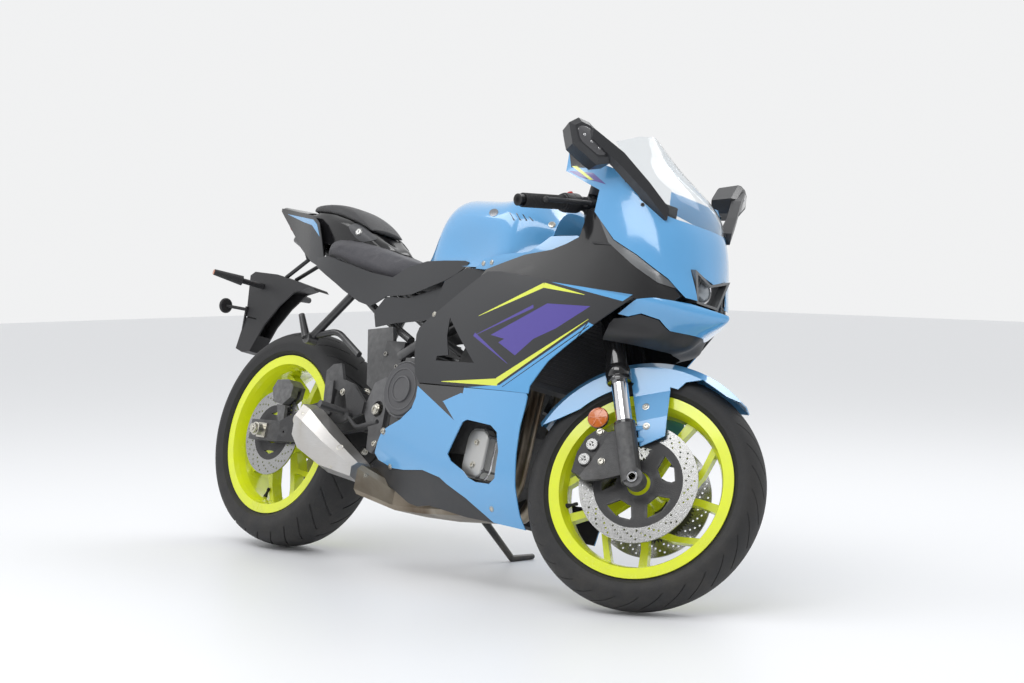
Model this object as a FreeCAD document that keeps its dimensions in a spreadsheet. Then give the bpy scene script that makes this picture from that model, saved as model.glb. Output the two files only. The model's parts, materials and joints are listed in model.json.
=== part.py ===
import FreeCAD, Part
import math
import os
import Sketcher
from FreeCAD import Placement, Rotation, Vector

# Sport motorcycle, parked on its side stand with the steering on its left stop.
# Every piece is modelled on the upright machine with the bars straight:
# X forward from the rear axle, Y to the rider's left, Z up from the ground, in mm.
# The Placements then turn the bars, lean the machine and put the origin under it.

doc = FreeCAD.newDocument("SportBike")
sheet = doc.addObject("Spreadsheet::Sheet", "Sizes")

# alias, value, what it measures
sizeTable = [
    ("wheelBase", 1395, "rear axle to front axle"),
    ("frontRadius", 300, "front tyre radius"),
    ("rearRadius", 315, "rear tyre radius"),
    ("frontTyreWidth", 120, "front tyre section width"),
    ("rearTyreWidth", 180, "rear tyre section width"),
    ("rimEdgeRadius", 232, "outer radius of both rims' flanges"),
    ("beadRadius", 216, "radius of the tyre bead seat"),
    ("frontRimWidth", 102, "front rim over its flanges"),
    ("rearRimWidth", 152, "rear rim over its flanges"),
    ("rimWall", 6, "wall of the rim barrel"),
    ("tyreWall", 9, "wall of the tyres"),
    ("spokeCount", 5, "arms of each wheel"),
    ("frontDiscRadius", 149, "front brake disc"),
    ("frontDiscBore", 112, "inner radius of the front disc's ring"),
    ("rearDiscRadius", 122.5, "rear brake disc"),
    ("rearDiscBore", 80, "inner radius of the rear disc's ring"),
    ("discThickness", 4.5, "brake discs"),
    ("frontDiscPlane", 68, "centre plane to the middle of a front disc"),
    ("rearDiscPlane", 92, "centre plane to the middle of the rear disc"),
    ("rakeAngle", 23.67, "steering axis from the vertical, degrees"),
    ("axleOffset", 38, "front axle ahead of the steering axis"),
    ("forkSpacing", 204, "between the fork legs' axes"),
    ("forkOffset", 31, "fork legs ahead of the steering axis"),
    ("forkOuterRadius", 27, "upper fork tube"),
    ("forkInnerRadius", 20.5, "chromed lower fork tube"),
    ("forkFootTop", 144, "top of the fork foot along the steering axis"),
    ("forkSealHeight", 252, "lower end of the upper fork tube"),
    ("forkTopHeight", 764, "upper end of the fork tubes"),
    ("lowerYokeHeight", 556, "middle of the lower yoke"),
    ("topYokeHeight", 738, "middle of the top yoke"),
    ("yokeThickness", 30, "both yokes"),
    ("stemRadius", 15, "steering stem"),
    ("headTubeRadius", 31, "steering head of the frame"),
    ("axleRadius", 12.5, "front axle"),
    ("axleBore", 8.5, "through bore of the front axle"),
    ("axleHalfLength", 124, "front axle end from the centre plane"),
    ("clutchCoverRadius", 78, "round clutch cover on the right of the engine"),
    ("rearAxleRadius", 10, "rear axle"),
    ("rearAxleHalfLength", 150, "rear axle end from the centre plane"),
    ("hubClearance", 0.3, "gap between turning and standing faces at a seat"),
    ("pivotX", 512, "swingarm pivot ahead of the rear axle"),
    ("pivotZ", 410, "swingarm pivot above the ground"),
    ("pivotRadius", 14, "swingarm pivot tube"),
    ("frameTubeRadius", 16, "main frame tubes"),
    ("tailTubeRadius", 11, "tail frame tubes"),
    ("panelWall", 3, "wall of the fairing panels"),
    ("screenWall", 3, "wall of the windscreen"),
    ("seatHeight", 835, "lowest point of the rider's seat"),
    ("gripRadius", 17, "rubber grips"),
    ("barRadius", 11, "handlebar tube"),
    ("hoseRadius", 3.5, "brake hoses"),
    ("hangerRadius", 12, "passenger peg hangers"),
    ("standRadius", 12, "side stand leg"),
    ("standFold", 95, "side stand fold, degrees"),
    ("spoolX", 96, "stand spool holes ahead of the rear axle"),
    ("spoolZ", 318, "stand spool holes above the ground"),
    ("spoolHoleRadius", 3.4, "tapped holes for stand spools"),
    ("spoolDepth", 14, "depth of the spool holes"),
    ("plateHoleRadius", 3.5, "number plate holes"),
    ("plateHoleSide", 22, "number plate holes from the centre plane"),
    ("plateWall", 6, "thickness of the plate carrier"),
    ("leanAngle", 14.85, "lean to the left on the stand, degrees"),
    ("pitchAngle", 0.299, "nose down by the unlike tyres, degrees"),
    ("rideHeight", 3.26, "rise that brings both leaned tyres down to the ground"),
    ("steerRest", 26.87, "bars turned left onto their stop, degrees"),
]
for row, (alias, value, note) in enumerate(sizeTable, 1):
    sheet.set("A%d" % row, alias)
    sheet.set("B%d" % row, str(value))
    sheet.set("C%d" % row, note)
    sheet.setAlias("B%d" % row, alias)
doc.recompute()


def size(alias):
    return float(sheet.get(alias))


panelWall = size("panelWall")
wheelBase = size("wheelBase")
rearAxle = Vector(0, 0, size("rearRadius"))
frontAxle = Vector(wheelBase, 0, size("frontRadius"))
rake = math.radians(size("rakeAngle"))
steerUp = Vector(-math.sin(rake), 0, math.cos(rake))
steerFore = Vector(math.cos(rake), 0, math.sin(rake))
steerBase = frontAxle - steerFore * size("axleOffset")
pivot = Vector(size("pivotX"), 0, size("pivotZ"))
acrossY = Vector(0, 1, 0)
forkSide = size("forkSpacing") / 2
plateHoleSide = size("plateHoleSide")


def on_fork(up, fore, side=0):
    """Point given along the steering axis, ahead of it and to the left."""
    return steerBase + steerUp * up + steerFore * fore + acrossY * side


# ---- poses -------------------------------------------------------------------

leanTurn = Rotation(Vector(1, 0, 0), -size("leanAngle"))
pitchTurn = Rotation(acrossY, size("pitchAngle"))
parked = Placement(Vector(0, 0, size("rideHeight")), pitchTurn.multiply(leanTurn))
steerTurn = Placement(Vector(0, 0, 0), Rotation(steerUp, size("steerRest")), steerBase)
bodyPose = {"chassis": parked, "rear_wheel": parked, "side_stand": parked,
            "steering": parked.multiply(steerTurn), "front_wheel": parked.multiply(steerTurn)}
nodeBody = {}
nodeObject = {}
nodePlace = {}


def keep(obj, body, place=None):
    """Files an object as a node of one moving body; place is its seat on the upright machine."""
    obj.Label = obj.Name
    nodeBody[obj.Name] = body
    nodeObject[obj.Name] = obj
    nodePlace[obj.Name] = place or Placement()


def feature(name, shape, body, place=None):
    obj = doc.addObject("Part::Feature", name)
    obj.Shape = shape
    keep(obj, body, place)
    return obj


# ---- shape helpers -----------------------------------------------------------

def rod(start, end, radius):
    return Part.makeCylinder(radius, (end - start).Length, start, end - start)


def cone(start, end, r0, r1):
    return Part.makeCone(r0, r1, (end - start).Length, start, end - start)


def block(x0, x1, y0, y1, z0, z1):
    return Part.makeBox(x1 - x0, y1 - y0, z1 - z0, Vector(x0, y0, z0))


def fuse(shapes):
    shapes = list(shapes)
    whole = shapes[0] if len(shapes) == 1 else shapes[0].fuse(shapes[1:])
    return whole.removeSplitter()


def polygon(points):
    return Part.makePolygon(list(points) + [points[0]])


def side_plate(outline, y0, y1):
    """Prism of an (x, z) outline between two planes across the machine."""
    face = Part.Face(polygon([Vector(x, y0, z) for x, z in outline]))
    return face.extrude(Vector(0, y1 - y0, 0))


def end_plate(outline, x0, x1):
    """Prism of a (y, z) outline between two planes along the machine."""
    face = Part.Face(polygon([Vector(x0, y, z) for y, z in outline]))
    return face.extrude(Vector(x1 - x0, 0, 0))


def other_side(shape):
    return shape.mirror(Vector(0, 0, 0), acrossY)


def both_sides(shape):
    return Part.makeCompound([shape, other_side(shape)])


def pipe(points, radius, bend, wall=0):
    """Tube along straight runs joined by tangent arcs of one bend radius."""
    edges = []
    start = points[0]
    for before, corner, after in zip(points, points[1:], points[2:]):
        inward = (before - corner).normalize()
        onward = (after - corner).normalize()
        half = inward.getAngle(onward) / 2
        reach = bend / math.tan(half)
        first = corner + inward * reach
        last = corner + onward * reach
        middle = (inward + onward).normalize() * (bend / math.sin(half) - bend) + corner
        edges.append(Part.LineSegment(start, first).toShape())
        edges.append(Part.Arc(first, middle, last).toShape())
        start = last
    edges.append(Part.LineSegment(start, points[-1]).toShape())
    path = Part.Wire(edges)
    ring = Part.Wire(Part.makeCircle(radius, points[0], points[1] - points[0]))
    solid = path.makePipeShell([ring], True, True)
    if wall:
        core = Part.Wire(Part.makeCircle(radius - wall, points[0], points[1] - points[0]))
        solid = solid.cut(path.makePipeShell([core], True, True))
    return solid


def offset_line(points, distance):
    """Open (a, b) polyline moved sideways to its left by a distance, with mitred corners."""
    moved = []
    for index, (a, b) in enumerate(points):
        normals = []
        for first, last in ((index - 1, index), (index, index + 1)):
            if first >= 0 and last < len(points):
                da = points[last][0] - points[first][0]
                db = points[last][1] - points[first][1]
                span = math.hypot(da, db)
                normals.append((-db / span, da / span))
        na = sum(n[0] for n in normals) / len(normals)
        nb = sum(n[1] for n in normals) / len(normals)
        square = na * na + nb * nb
        moved.append((a + distance * na / square, b + distance * nb / square))
    return moved


def loft(sections):
    return Part.makeLoft([polygon(points) for points in sections], True, True)


def smooth_edge(points):
    curve = Part.BSplineCurve()
    curve.interpolate(points)
    return curve.toShape()


def skin_ring(outer, inner):
    """Closed outline of a skin's cut: outer face, end, inner face, end."""
    return Part.Wire([smooth_edge(outer), Part.LineSegment(outer[-1], inner[-1]).toShape(),
                      smooth_edge(inner[::-1]), Part.LineSegment(inner[0], outer[0]).toShape()])


def smooth_loft(rings):
    return Part.makeLoft(rings, True, False)


def crown_loft(stations):
    """Closed form with a flat base, crowned over the top; halves (y, z) run from the top down."""
    rings = []
    for station, half in stations:
        outline = [Vector(station, -y, z) for y, z in reversed(half[1:])]
        outline += [Vector(station, y, z) for y, z in half]
        base = Part.LineSegment(outline[-1], outline[0]).toShape()
        rings.append(Part.Wire([smooth_edge(outline), base]))
    return smooth_loft(rings)


def whole_curve(half):
    """Plan curve of both sides from its right half, which ends on the centre plane."""
    return list(half) + [(x, -y) for x, y in reversed(half[:-1])]


def level_core(levels, inset):
    """Closed form inside a skin, used to fit trays and trims to its inner face."""
    rings = []
    for height, curve in levels:
        line = [Vector(x, y, height) for x, y in offset_line(curve, inset)]
        rings.append(Part.Wire([smooth_edge(line), Part.LineSegment(line[-1], line[0]).toShape()]))
    return smooth_loft(rings)


def biggest(shape):
    return sorted(shape.Solids, key=lambda solid: solid.Volume)[-1]


def boss(start, end, radius, *carriers):
    """Mounting post from a piece's wall towards what carries it, short of it by the seat's gap."""
    post = rod(start, end, radius)
    for name in carriers:
        post = post.cut(nodeObject[name].Shape)
    near = sorted(post.Solids, key=lambda solid: (solid.CenterOfMass - start).Length)[0]
    return near.translated((start - end).normalize() * size("hubClearance"))


def above_seat(rise):
    return size("seatHeight") + rise


def level_skin(levels, wall, outset=0):
    """Skin through plan curves (x, y) at rising levels; outset moves it out of the machine."""
    rings = []
    for height, curve in levels:
        face = offset_line(curve, -outset) if outset else curve
        outer = [Vector(x, y, height) for x, y in face]
        inner = [Vector(x, y, height) for x, y in offset_line(face, wall)]
        rings.append(skin_ring(outer, inner))
    return smooth_loft(rings)


# ---- part design helpers -----------------------------------------------------

def new_body(name):
    return doc.addObject("PartDesign::Body", name)


def new_sketch(body, role, name):
    sketch = body.newObject("Sketcher::SketchObject", name)
    plane = [item for item in body.Origin.OriginFeatures if item.Role == role][0]
    sketch.AttachmentSupport = [(plane, "")]
    sketch.MapMode = "FlatFace"
    return sketch


def draw(sketch, points):
    """Closed outline; a triple ("arc", through, end) bends to its end point."""
    here = Vector(points[0][0], points[0][1], 0)
    first = here
    for item in points[1:] + [points[0]]:
        if item[0] == "arc":
            through = Vector(item[1][0], item[1][1], 0)
            end = Vector(item[2][0], item[2][1], 0)
            sketch.addGeometry(Part.Arc(here, through, end), False)
        else:
            end = Vector(item[0], item[1], 0)
            sketch.addGeometry(Part.LineSegment(here, end), False)
        here = end
    count = sketch.GeometryCount
    sketch.addConstraint([])
    return first, count


def turned(body, name, points):
    """Revolution about the wheel's axle, Y; points are (across, radius)."""
    sketch = new_sketch(body, "YZ_Plane", name + "_profile")
    draw(sketch, points)
    turn = body.newObject("PartDesign::Revolution", name)
    turn.Profile = sketch
    turn.ReferenceAxis = (sketch, ["H_Axis"])
    turn.Angle = 360
    return turn


# ---- wheels ------------------------------------------------------------------

def rim(name, width, hub_radius, hub_width, arm_width, place, body_name):
    """Cast wheel: barrel, hub and arms that each split into a straight and a swept spoke."""
    edge = size("rimEdgeRadius")
    bead = size("beadRadius")
    wall = size("rimWall")
    bore = size("axleRadius") + size("hubClearance")
    half = width / 2
    well = bead - 22
    body = new_body(name)
    outline = [(-half, edge), (-half, bead - 10), (-half + 14, bead - 16), (-half + 34, well),
               (half - 34, well), (half - 14, bead - 16), (half, bead - 10), (half, edge),
               (half - wall, edge), (half - wall, bead), (half - 20, bead),
               (half - 34, well + wall), (-half + 34, well + wall), (-half + 20, bead),
               (-half + wall, bead), (-half + wall, edge)]
    turned(body, name + "_barrel", outline)
    hub = hub_width / 2
    turned(body, name + "_hub", [(-hub, bore), (hub, bore), (hub, hub_radius - 12),
                                 (hub - 16, hub_radius), (-hub + 16, hub_radius),
                                 (-hub, hub_radius - 12)])

    def polar(radius, degrees):
        angle = math.radians(degrees)
        return (radius * math.cos(angle), radius * math.sin(angle))

    reach = well + wall / 2
    arm = [polar(hub_radius - 6, -16), polar(98, -7), polar(150, -4.5), polar(reach, -6),
           polar(reach, 0.5), polar(150, 2.5), polar(112, 4), polar(118, 12), polar(150, 25),
           polar(reach, 40), polar(reach, 46), polar(150, 33), polar(104, 14),
           polar(hub_radius - 6, 22)]
    sketch = new_sketch(body, "XZ_Plane", name + "_arm_outline")
    draw(sketch, arm)
    pad = body.newObject("PartDesign::Pad", name + "_arm")
    pad.Profile = sketch
    pad.Length = arm_width
    pad.Midplane = True
    ring = body.newObject("PartDesign::PolarPattern", name + "_arms")
    ring.Originals = [pad]
    ring.Axis = (sketch, ["N_Axis"])
    ring.Angle = 360
    ring.setExpression("Occurrences", "Sizes.spokeCount")
    body.Tip = ring
    keep(body, body_name, place)


def tyre(name, radius, width, rim_width, place, body_name):
    """Round-crowned road tyre, hollow, seated on the rim's bead seats."""
    bead = size("beadRadius") + size("hubClearance")
    edge = size("rimEdgeRadius")
    wall = size("tyreWall")
    inside = rim_width / 2 - size("rimWall") - size("hubClearance")
    half = width / 2
    shoulder = edge + 0.42 * (radius - edge)
    crown = [(share * half, shoulder + math.sqrt(1 - share * share) * (radius - shoulder))
             for share in (-1, -0.86, -0.6, -0.22, 0.22, 0.6, 0.86, 1)]
    lining = [(half - wall, shoulder), (half * 0.5, radius - wall - 9), (-half * 0.5, radius - wall - 9),
              (-half + wall, shoulder)]
    outline = [(-inside, bead), (-inside, edge), (-half + 4, edge + 9)] + crown
    outline += [(half - 4, edge + 9), (inside, edge), (inside, bead), (inside - wall, bead)]
    outline += lining + [(-inside + wall, bead)]
    body = new_body(name)
    turned(body, name + "_section", outline)
    keep(body, body_name, place)


def disc(name, radius, bore, hub_radius, hub_bore, plane, inward, tabs, place, body_name):
    """Floating brake disc on its dished carrier, at one side of a wheel."""
    half = size("discThickness") / 2
    body = new_body(name)
    turned(body, name + "_rotor", [(plane - half, bore), (plane + half, bore),
                                   (plane + half, radius), (plane - half, radius)])
    turned(body, name + "_carrier", [(inward, hub_bore), (plane - half, hub_bore),
                                     (plane - half + 1, hub_radius),
                                     (plane + half - 0.5, bore - 14),
                                     (plane + half - 0.5, bore + 5), (plane - half + 0.5, bore + 5),
                                     (plane - half - 3, bore - 14), (inward, hub_radius)])
    sketch = new_sketch(body, "XZ_Plane", name + "_window_outline")
    rim_in = bore - 20
    points = []
    for degrees, reach in ((-24, rim_in), (0, rim_in + 3), (24, rim_in), (16, hub_radius + 2),
                           (-16, hub_radius + 2)):
        angle = math.radians(degrees)
        points.append((reach * math.cos(angle), reach * math.sin(angle)))
    draw(sketch, points)
    window = body.newObject("PartDesign::Pocket", name + "_window")
    window.Profile = sketch
    window.Midplane = True
    window.Length = 4 * abs(plane) + 40
    ring = body.newObject("PartDesign::PolarPattern", name + "_windows")
    ring.Originals = [window]
    ring.Axis = (sketch, ["N_Axis"])
    ring.Angle = 360
    ring.Occurrences = tabs
    body.Tip = ring
    return body


atFront = Placement(frontAxle, Rotation())
atRear = Placement(rearAxle, Rotation())
frontHubHalf = size("frontDiscPlane") - 8
rearHubHalf = size("rearDiscPlane") - 8

rim("front_rim", size("frontRimWidth"), 42, 2 * frontHubHalf, 26, atFront, "front_wheel")
tyre("front_tyre", size("frontRadius"), size("frontTyreWidth"), size("frontRimWidth"),
     atFront, "front_wheel")
rim("rear_rim", size("rearRimWidth"), 50, 2 * rearHubHalf, 34, atRear, "rear_wheel")
tyre("rear_tyre", size("rearRadius"), size("rearTyreWidth"), size("rearRimWidth"),
     atRear, "rear_wheel")


def front_discs():
    left = disc("front_disc_left", size("frontDiscRadius"), size("frontDiscBore"), 56, 30,
                size("frontDiscPlane"), frontHubHalf, 5, atFront, "front_wheel")
    keep(left, "front_wheel", atFront)
    turn = Placement(frontAxle, Rotation(Vector(0, 0, 1), 180))
    right = disc("front_disc_right", size("frontDiscRadius"), size("frontDiscBore"), 56, 30,
                 size("frontDiscPlane"), frontHubHalf, 5, atFront, "front_wheel")
    keep(right, "front_wheel", turn)


def rear_disc():
    turn = Placement(rearAxle, Rotation(Vector(0, 0, 1), 180))
    body = disc("rear_disc", size("rearDiscRadius"), size("rearDiscBore"), 52, 30,
                size("rearDiscPlane"), rearHubHalf, 4, atRear, "rear_wheel")
    keep(body, "rear_wheel", turn)


def rear_sprocket():
    """Driven sprocket with its tooth ring and five windows."""
    teeth = 42
    pitch = 15.875
    radius = pitch / (2 * math.sin(math.pi / teeth))
    points = []
    for index in range(teeth):
        for share, reach in ((-0.28, radius - 4), (-0.1, radius + 4.5), (0.1, radius + 4.5),
                             (0.28, radius - 4)):
            angle = 2 * math.pi * (index + share) / teeth
            points.append((reach * math.cos(angle), reach * math.sin(angle)))
    body = new_body("rear_sprocket")
    sketch = new_sketch(body, "XZ_Plane", "sprocket_outline")
    draw(sketch, points)
    pad = body.newObject("PartDesign::Pad", "sprocket_plate")
    pad.Profile = sketch
    pad.Length = 7
    hole = new_sketch(body, "XZ_Plane", "sprocket_bore")
    hole.addGeometry(Part.Circle(Vector(0, 0, 0), Vector(0, 0, 1), 30), False)
    for index in range(5):
        angle = 2 * math.pi * index / 5
        centre = Vector(70 * math.cos(angle), 70 * math.sin(angle), 0)
        hole.addGeometry(Part.Circle(centre, Vector(0, 0, 1), 17), False)
    pocket = body.newObject("PartDesign::Pocket", "sprocket_openings")
    pocket.Profile = hole
    pocket.Midplane = True
    pocket.Length = 60
    body.Tip = pocket
    keep(body, "rear_wheel", Placement(rearAxle + acrossY * (rearHubHalf + 7), Rotation()))


front_discs()
rear_disc()
rear_sprocket()


# ---- front end ---------------------------------------------------------------

def fork_legs():
    """Chromed lower tubes, seen between the feet and the seals."""
    radius = size("forkInnerRadius")
    start = size("forkFootTop")
    shapes = [rod(on_fork(start, size("forkOffset"), side),
                  on_fork(size("forkSealHeight"), size("forkOffset"), side), radius)
              for side in (-forkSide, forkSide)]
    feature("fork_inner_tubes", Part.makeCompound(shapes), "steering")


def fork_tubes():
    """Upper tubes with their dust seals and top caps."""
    fore = size("forkOffset")
    radius = size("forkOuterRadius")
    low = size("forkSealHeight")
    high = size("forkTopHeight")
    shapes = []
    for side in (-forkSide, forkSide):
        shapes.append(fuse([
            rod(on_fork(low, fore, side), on_fork(low + 34, fore, side), radius + 3),
            cone(on_fork(low + 34, fore, side), on_fork(low + 44, fore, side), radius + 3, radius),
            rod(on_fork(low + 44, fore, side), on_fork(high, fore, side), radius),
            rod(on_fork(high, fore, side), on_fork(high + 8, fore, side), radius - 6)]))
    feature("fork_upper_tubes", Part.makeCompound(shapes), "steering")


caliperFront = [(130, -12), (104, -26), (66, -62), (34, -96)]


def fork_feet():
    """Cast feet that clamp the axle and carry the radial calipers behind them."""
    fore = size("forkOffset")
    top = size("forkFootTop")
    gap = size("hubClearance")
    bore = rod(on_fork(0, size("axleOffset"), -200), on_fork(0, size("axleOffset"), 200),
               size("axleRadius"))
    shapes = []
    for sign in (-1, 1):
        side = sign * forkSide
        leg = rod(on_fork(-6, fore, side), on_fork(top, fore, side), 26)
        inner = sign * (size("frontDiscPlane") + size("discThickness") + 5)
        clamp = rod(on_fork(0, size("axleOffset"), inner),
                    on_fork(0, size("axleOffset"), sign * (size("axleHalfLength") - 4)), 25)
        web = [on_fork(up - gap, ahead + gap, side - 7) for up, ahead in caliperFront]
        web += [on_fork(up, ahead, side - 7) for up, ahead in
                ((22, -88), (14, -40), (16, fore), (128, fore))]
        lug = Part.Face(polygon(web)).extrude(Vector(0, 14, 0))
        shapes.append(fuse([leg, clamp, lug]).cut(bore))
    feature("fork_feet", Part.makeCompound(shapes), "steering")


def front_axle():
    """Hollow front axle, clamped in both feet."""
    half = size("axleHalfLength")
    place = on_fork(0, size("axleOffset"), -half)
    body = new_body("front_axle")
    sketch = new_sketch(body, "XZ_Plane", "front_axle_section")
    sketch.addGeometry(Part.Circle(Vector(0, 0, 0), Vector(0, 0, 1), size("axleRadius")), False)
    sketch.addGeometry(Part.Circle(Vector(0, 0, 0), Vector(0, 0, 1), size("axleBore")), False)
    sketch.addConstraint(Sketcher.Constraint("Radius", 0, size("axleRadius")))
    sketch.addConstraint(Sketcher.Constraint("Radius", 1, size("axleBore")))
    sketch.setExpression("Constraints[0]", "Sizes.axleRadius")
    sketch.setExpression("Constraints[1]", "Sizes.axleBore")
    pad = body.newObject("PartDesign::Pad", "front_axle_length")
    pad.Profile = sketch
    pad.Reversed = True
    pad.setExpression("Length", "2 * Sizes.axleHalfLength")
    keep(body, "steering", Placement(place, Rotation()))


def yokes():
    """Lower and top yokes, joined by the stem, each clamping both fork tubes."""
    fore = size("forkOffset")
    radius = size("forkOuterRadius")
    half = size("yokeThickness") / 2
    shapes = []
    for middle in (size("lowerYokeHeight"), size("topYokeHeight")):
        plate = [on_fork(middle - half, ahead, side) for ahead, side in
                 ((-26, -24), (-26, 24), (fore - 22, forkSide + 8), (fore + 24, forkSide + 8),
                  (fore + 14, 40), (fore + 14, -40), (fore + 24, -forkSide - 8),
                  (fore - 22, -forkSide - 8))]
        slab = Part.Face(polygon(plate)).extrude(steerUp * (2 * half))
        clamps = [rod(on_fork(middle - half, fore, side), on_fork(middle + half, fore, side),
                      radius + 9) for side in (-forkSide, forkSide)]
        shapes += [slab] + clamps
    stem = rod(on_fork(size("lowerYokeHeight"), 0), on_fork(size("topYokeHeight") + half + 10, 0),
               size("stemRadius"))
    whole = fuse(shapes + [stem])
    tubes = [rod(on_fork(200, fore, side), on_fork(size("forkTopHeight") + 1, fore, side), radius)
             for side in (-forkSide, forkSide)]
    feature("yokes", whole.cut(Part.makeCompound(tubes)), "steering")


gripInner = Vector(-63.4, -103, -5.5)
gripOuter = Vector(-125.4, -232, -66.5)


def on_bar(offset):
    """Point of the right handlebar, given from its clamp on the fork tube."""
    clamp = on_fork(size("topYokeHeight") - size("yokeThickness") / 2 - 25, size("forkOffset"), -forkSide)
    return clamp + offset


def handlebars():
    """Clip-on bars with clamps, grips, switch housings, levers and the fluid reservoir."""
    fore = size("forkOffset")
    clamp_low = size("topYokeHeight") - size("yokeThickness") / 2 - 42
    inner = on_bar(gripInner)
    along = (on_bar(gripOuter) - inner).normalize()
    outer = on_bar(gripOuter)
    clamp = rod(on_fork(clamp_low, fore, -forkSide), on_fork(clamp_low + 34, fore, -forkSide),
                size("forkOuterRadius") + 9)
    root = on_fork(clamp_low + 17, fore, -forkSide)
    bend = inner - along * 60
    reach = bend - root
    riser = rod(root + reach * 0.2, bend, size("barRadius"))
    bar = rod(bend - along * 6, inner, size("barRadius"))
    grip = rod(inner, outer - along * 16, size("gripRadius"))
    end = rod(outer - along * 16, outer, size("gripRadius") - 2)
    flange = rod(inner, inner + along * 6, size("gripRadius") + 5)
    switch = rod(inner - along * 46, inner, 24)
    perch = rod(inner - along * 68, inner - along * 48, 18)
    knuckle = inner - along * 52 + steerFore * 34 - steerUp * 6
    master = rod(knuckle - along * 34, knuckle + along * 22, 13)
    arm = rod(inner - along * 58, knuckle, 9)
    lever_bend = knuckle + along * 40 + steerFore * 26 - steerUp * 10
    tip = outer - along * 22 + steerFore * 56 - steerUp * 12
    lever = pipe([knuckle + along * 10, lever_bend, tip], 6, 40)
    knob = Part.makeSphere(8, tip)
    right = fuse([clamp, riser, bar, grip, end, flange, switch, perch, arm, master, lever, knob])
    tube = rod(on_fork(300, fore, -forkSide), on_fork(size("forkTopHeight") + 20, fore, -forkSide),
               size("forkOuterRadius"))
    low = size("topYokeHeight") - size("yokeThickness") / 2 - size("hubClearance")
    high = size("topYokeHeight") + size("yokeThickness") / 2 + size("hubClearance")
    yoke = rod(on_fork(low, fore, -forkSide), on_fork(high, fore, -forkSide),
               size("forkOuterRadius") + 9 + size("hubClearance"))
    right = right.cut(tube).cut(yoke)
    cup = knuckle - along * 4
    reservoir = rod(cup + Vector(0, 0, 16), cup + Vector(0, 0, 48), 17)
    neck = rod(cup, cup + Vector(0, 0, 17), 6)
    feature("handlebar_right", fuse([right, reservoir, neck]), "steering")
    feature("handlebar_left", other_side(right), "steering")


def front_fender():
    """Arched mudguard close over the tyre, with flanks bolted to the fork feet."""
    wall = panelWall
    inner = size("frontRadius") + 14
    half = size("frontTyreWidth") / 2 + 6
    curve = [(-half, inner - 62), (-half, inner - 18), (-half + 22, inner), (0, inner + 4),
             (half - 22, inner), (half, inner - 18), (half, inner - 62)]
    ring = curve + offset_line(curve, wall)[::-1]
    face = Part.Face(polygon([Vector(r, y, 0) for y, r in ring]))
    arch = face.revolve(Vector(0, 0, 0), acrossY, -110)
    arch.rotate(Vector(0, 0, 0), acrossY, -54)
    arch.translate(frontAxle)
    trim = [(1108, 392), (1090, 410), (1120, 620), (1400, 680), (1620, 620), (1600, 552),
            (1550, 556), (1480, 586), (1440, 572), (1422, 545), (1300, 545), (1262, 490),
            (1212, 466), (1150, 420)]
    arch = arch.common(side_plate(trim, -200, 200))
    leg = size("forkOffset") + 26 + size("hubClearance")
    shapes = [arch]
    # rows of the flank from the arch down to the foot: rear point, front point, distance out
    rows = [((222, 54), (218, 147), half), ((150, leg), (150, 134), half + 14),
            ((86, leg), (100, 122), half + 14)]
    for sign in (-1, 1):
        upper = polygon([on_fork(up, ahead, sign * half) for up, ahead in
                         ((222, 54), (250, 54), (262, 64), (268, 100), (252, 150), (218, 147))])
        shapes.append(Part.Face(upper).extrude(Vector(0, sign * wall, 0)))
        sections = []
        for rear, front, side in rows:
            near = sign * side
            far = sign * (side + wall)
            sections.append(polygon([on_fork(rear[0], rear[1], near), on_fork(front[0], front[1], near),
                                     on_fork(front[0], front[1], far), on_fork(rear[0], rear[1], far)]))
        shapes.append(Part.makeLoft(sections, True, True))
        for up in (102, 132):
            shapes.append(boss(on_fork(up, leg + 9, sign * (half + 15)),
                               on_fork(up, size("forkOffset"), sign * forkSide), 6, "fork_feet"))
    feature("front_fender", fuse(shapes), "steering")


def front_calipers():
    """Four-piston radial calipers astride the discs, behind the fork legs."""
    plane = size("frontDiscPlane")
    gap = size("discThickness") / 2 + 3
    outline = [(146, -30), (130, -66), (96, -94), (50, -114)] + caliperFront[::-1]
    arch = [(146, -30), (130, -66), (96, -94), (50, -114), (58, -120), (104, -101), (138, -72),
            (154, -36)]

    def slab(points, y0, y1):
        face = Part.Face(polygon([on_fork(up, ahead, y0) for up, ahead in points]))
        return face.extrude(Vector(0, y1 - y0, 0))

    shapes = []
    for sign in (-1, 1):
        inner = slab(outline, sign * (plane - gap - 14), sign * (plane - gap))
        outer = slab(outline, sign * (plane + gap), sign * (plane + gap + 34))
        bridge = slab(arch, sign * (plane - gap - 1), sign * (plane + gap + 1))
        caps = [rod(on_fork(up, ahead, sign * (plane + gap + 33)),
                    on_fork(up, ahead, sign * (plane + gap + 40)), 16)
                for up, ahead in ((106, -53), (73, -77))]
        shapes.append(fuse([inner, outer, bridge] + caps))
    feature("front_calipers", Part.makeCompound(shapes), "steering")


fork_legs()
fork_tubes()
fork_feet()

front_axle()
yokes()
handlebars()
front_fender()
front_calipers()


# ---- frame, engine and running gear ------------------------------------------

shockTop = Vector(500, 0, 588)
standTop = Vector(590, 142, 246)
standHeel = Vector(656, 314, 90)
standAxis = (standHeel - standTop).cross(Vector(-270, 62, 12)).normalize()
standBoss = 14
standGap = standBoss + size("hubClearance")


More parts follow.
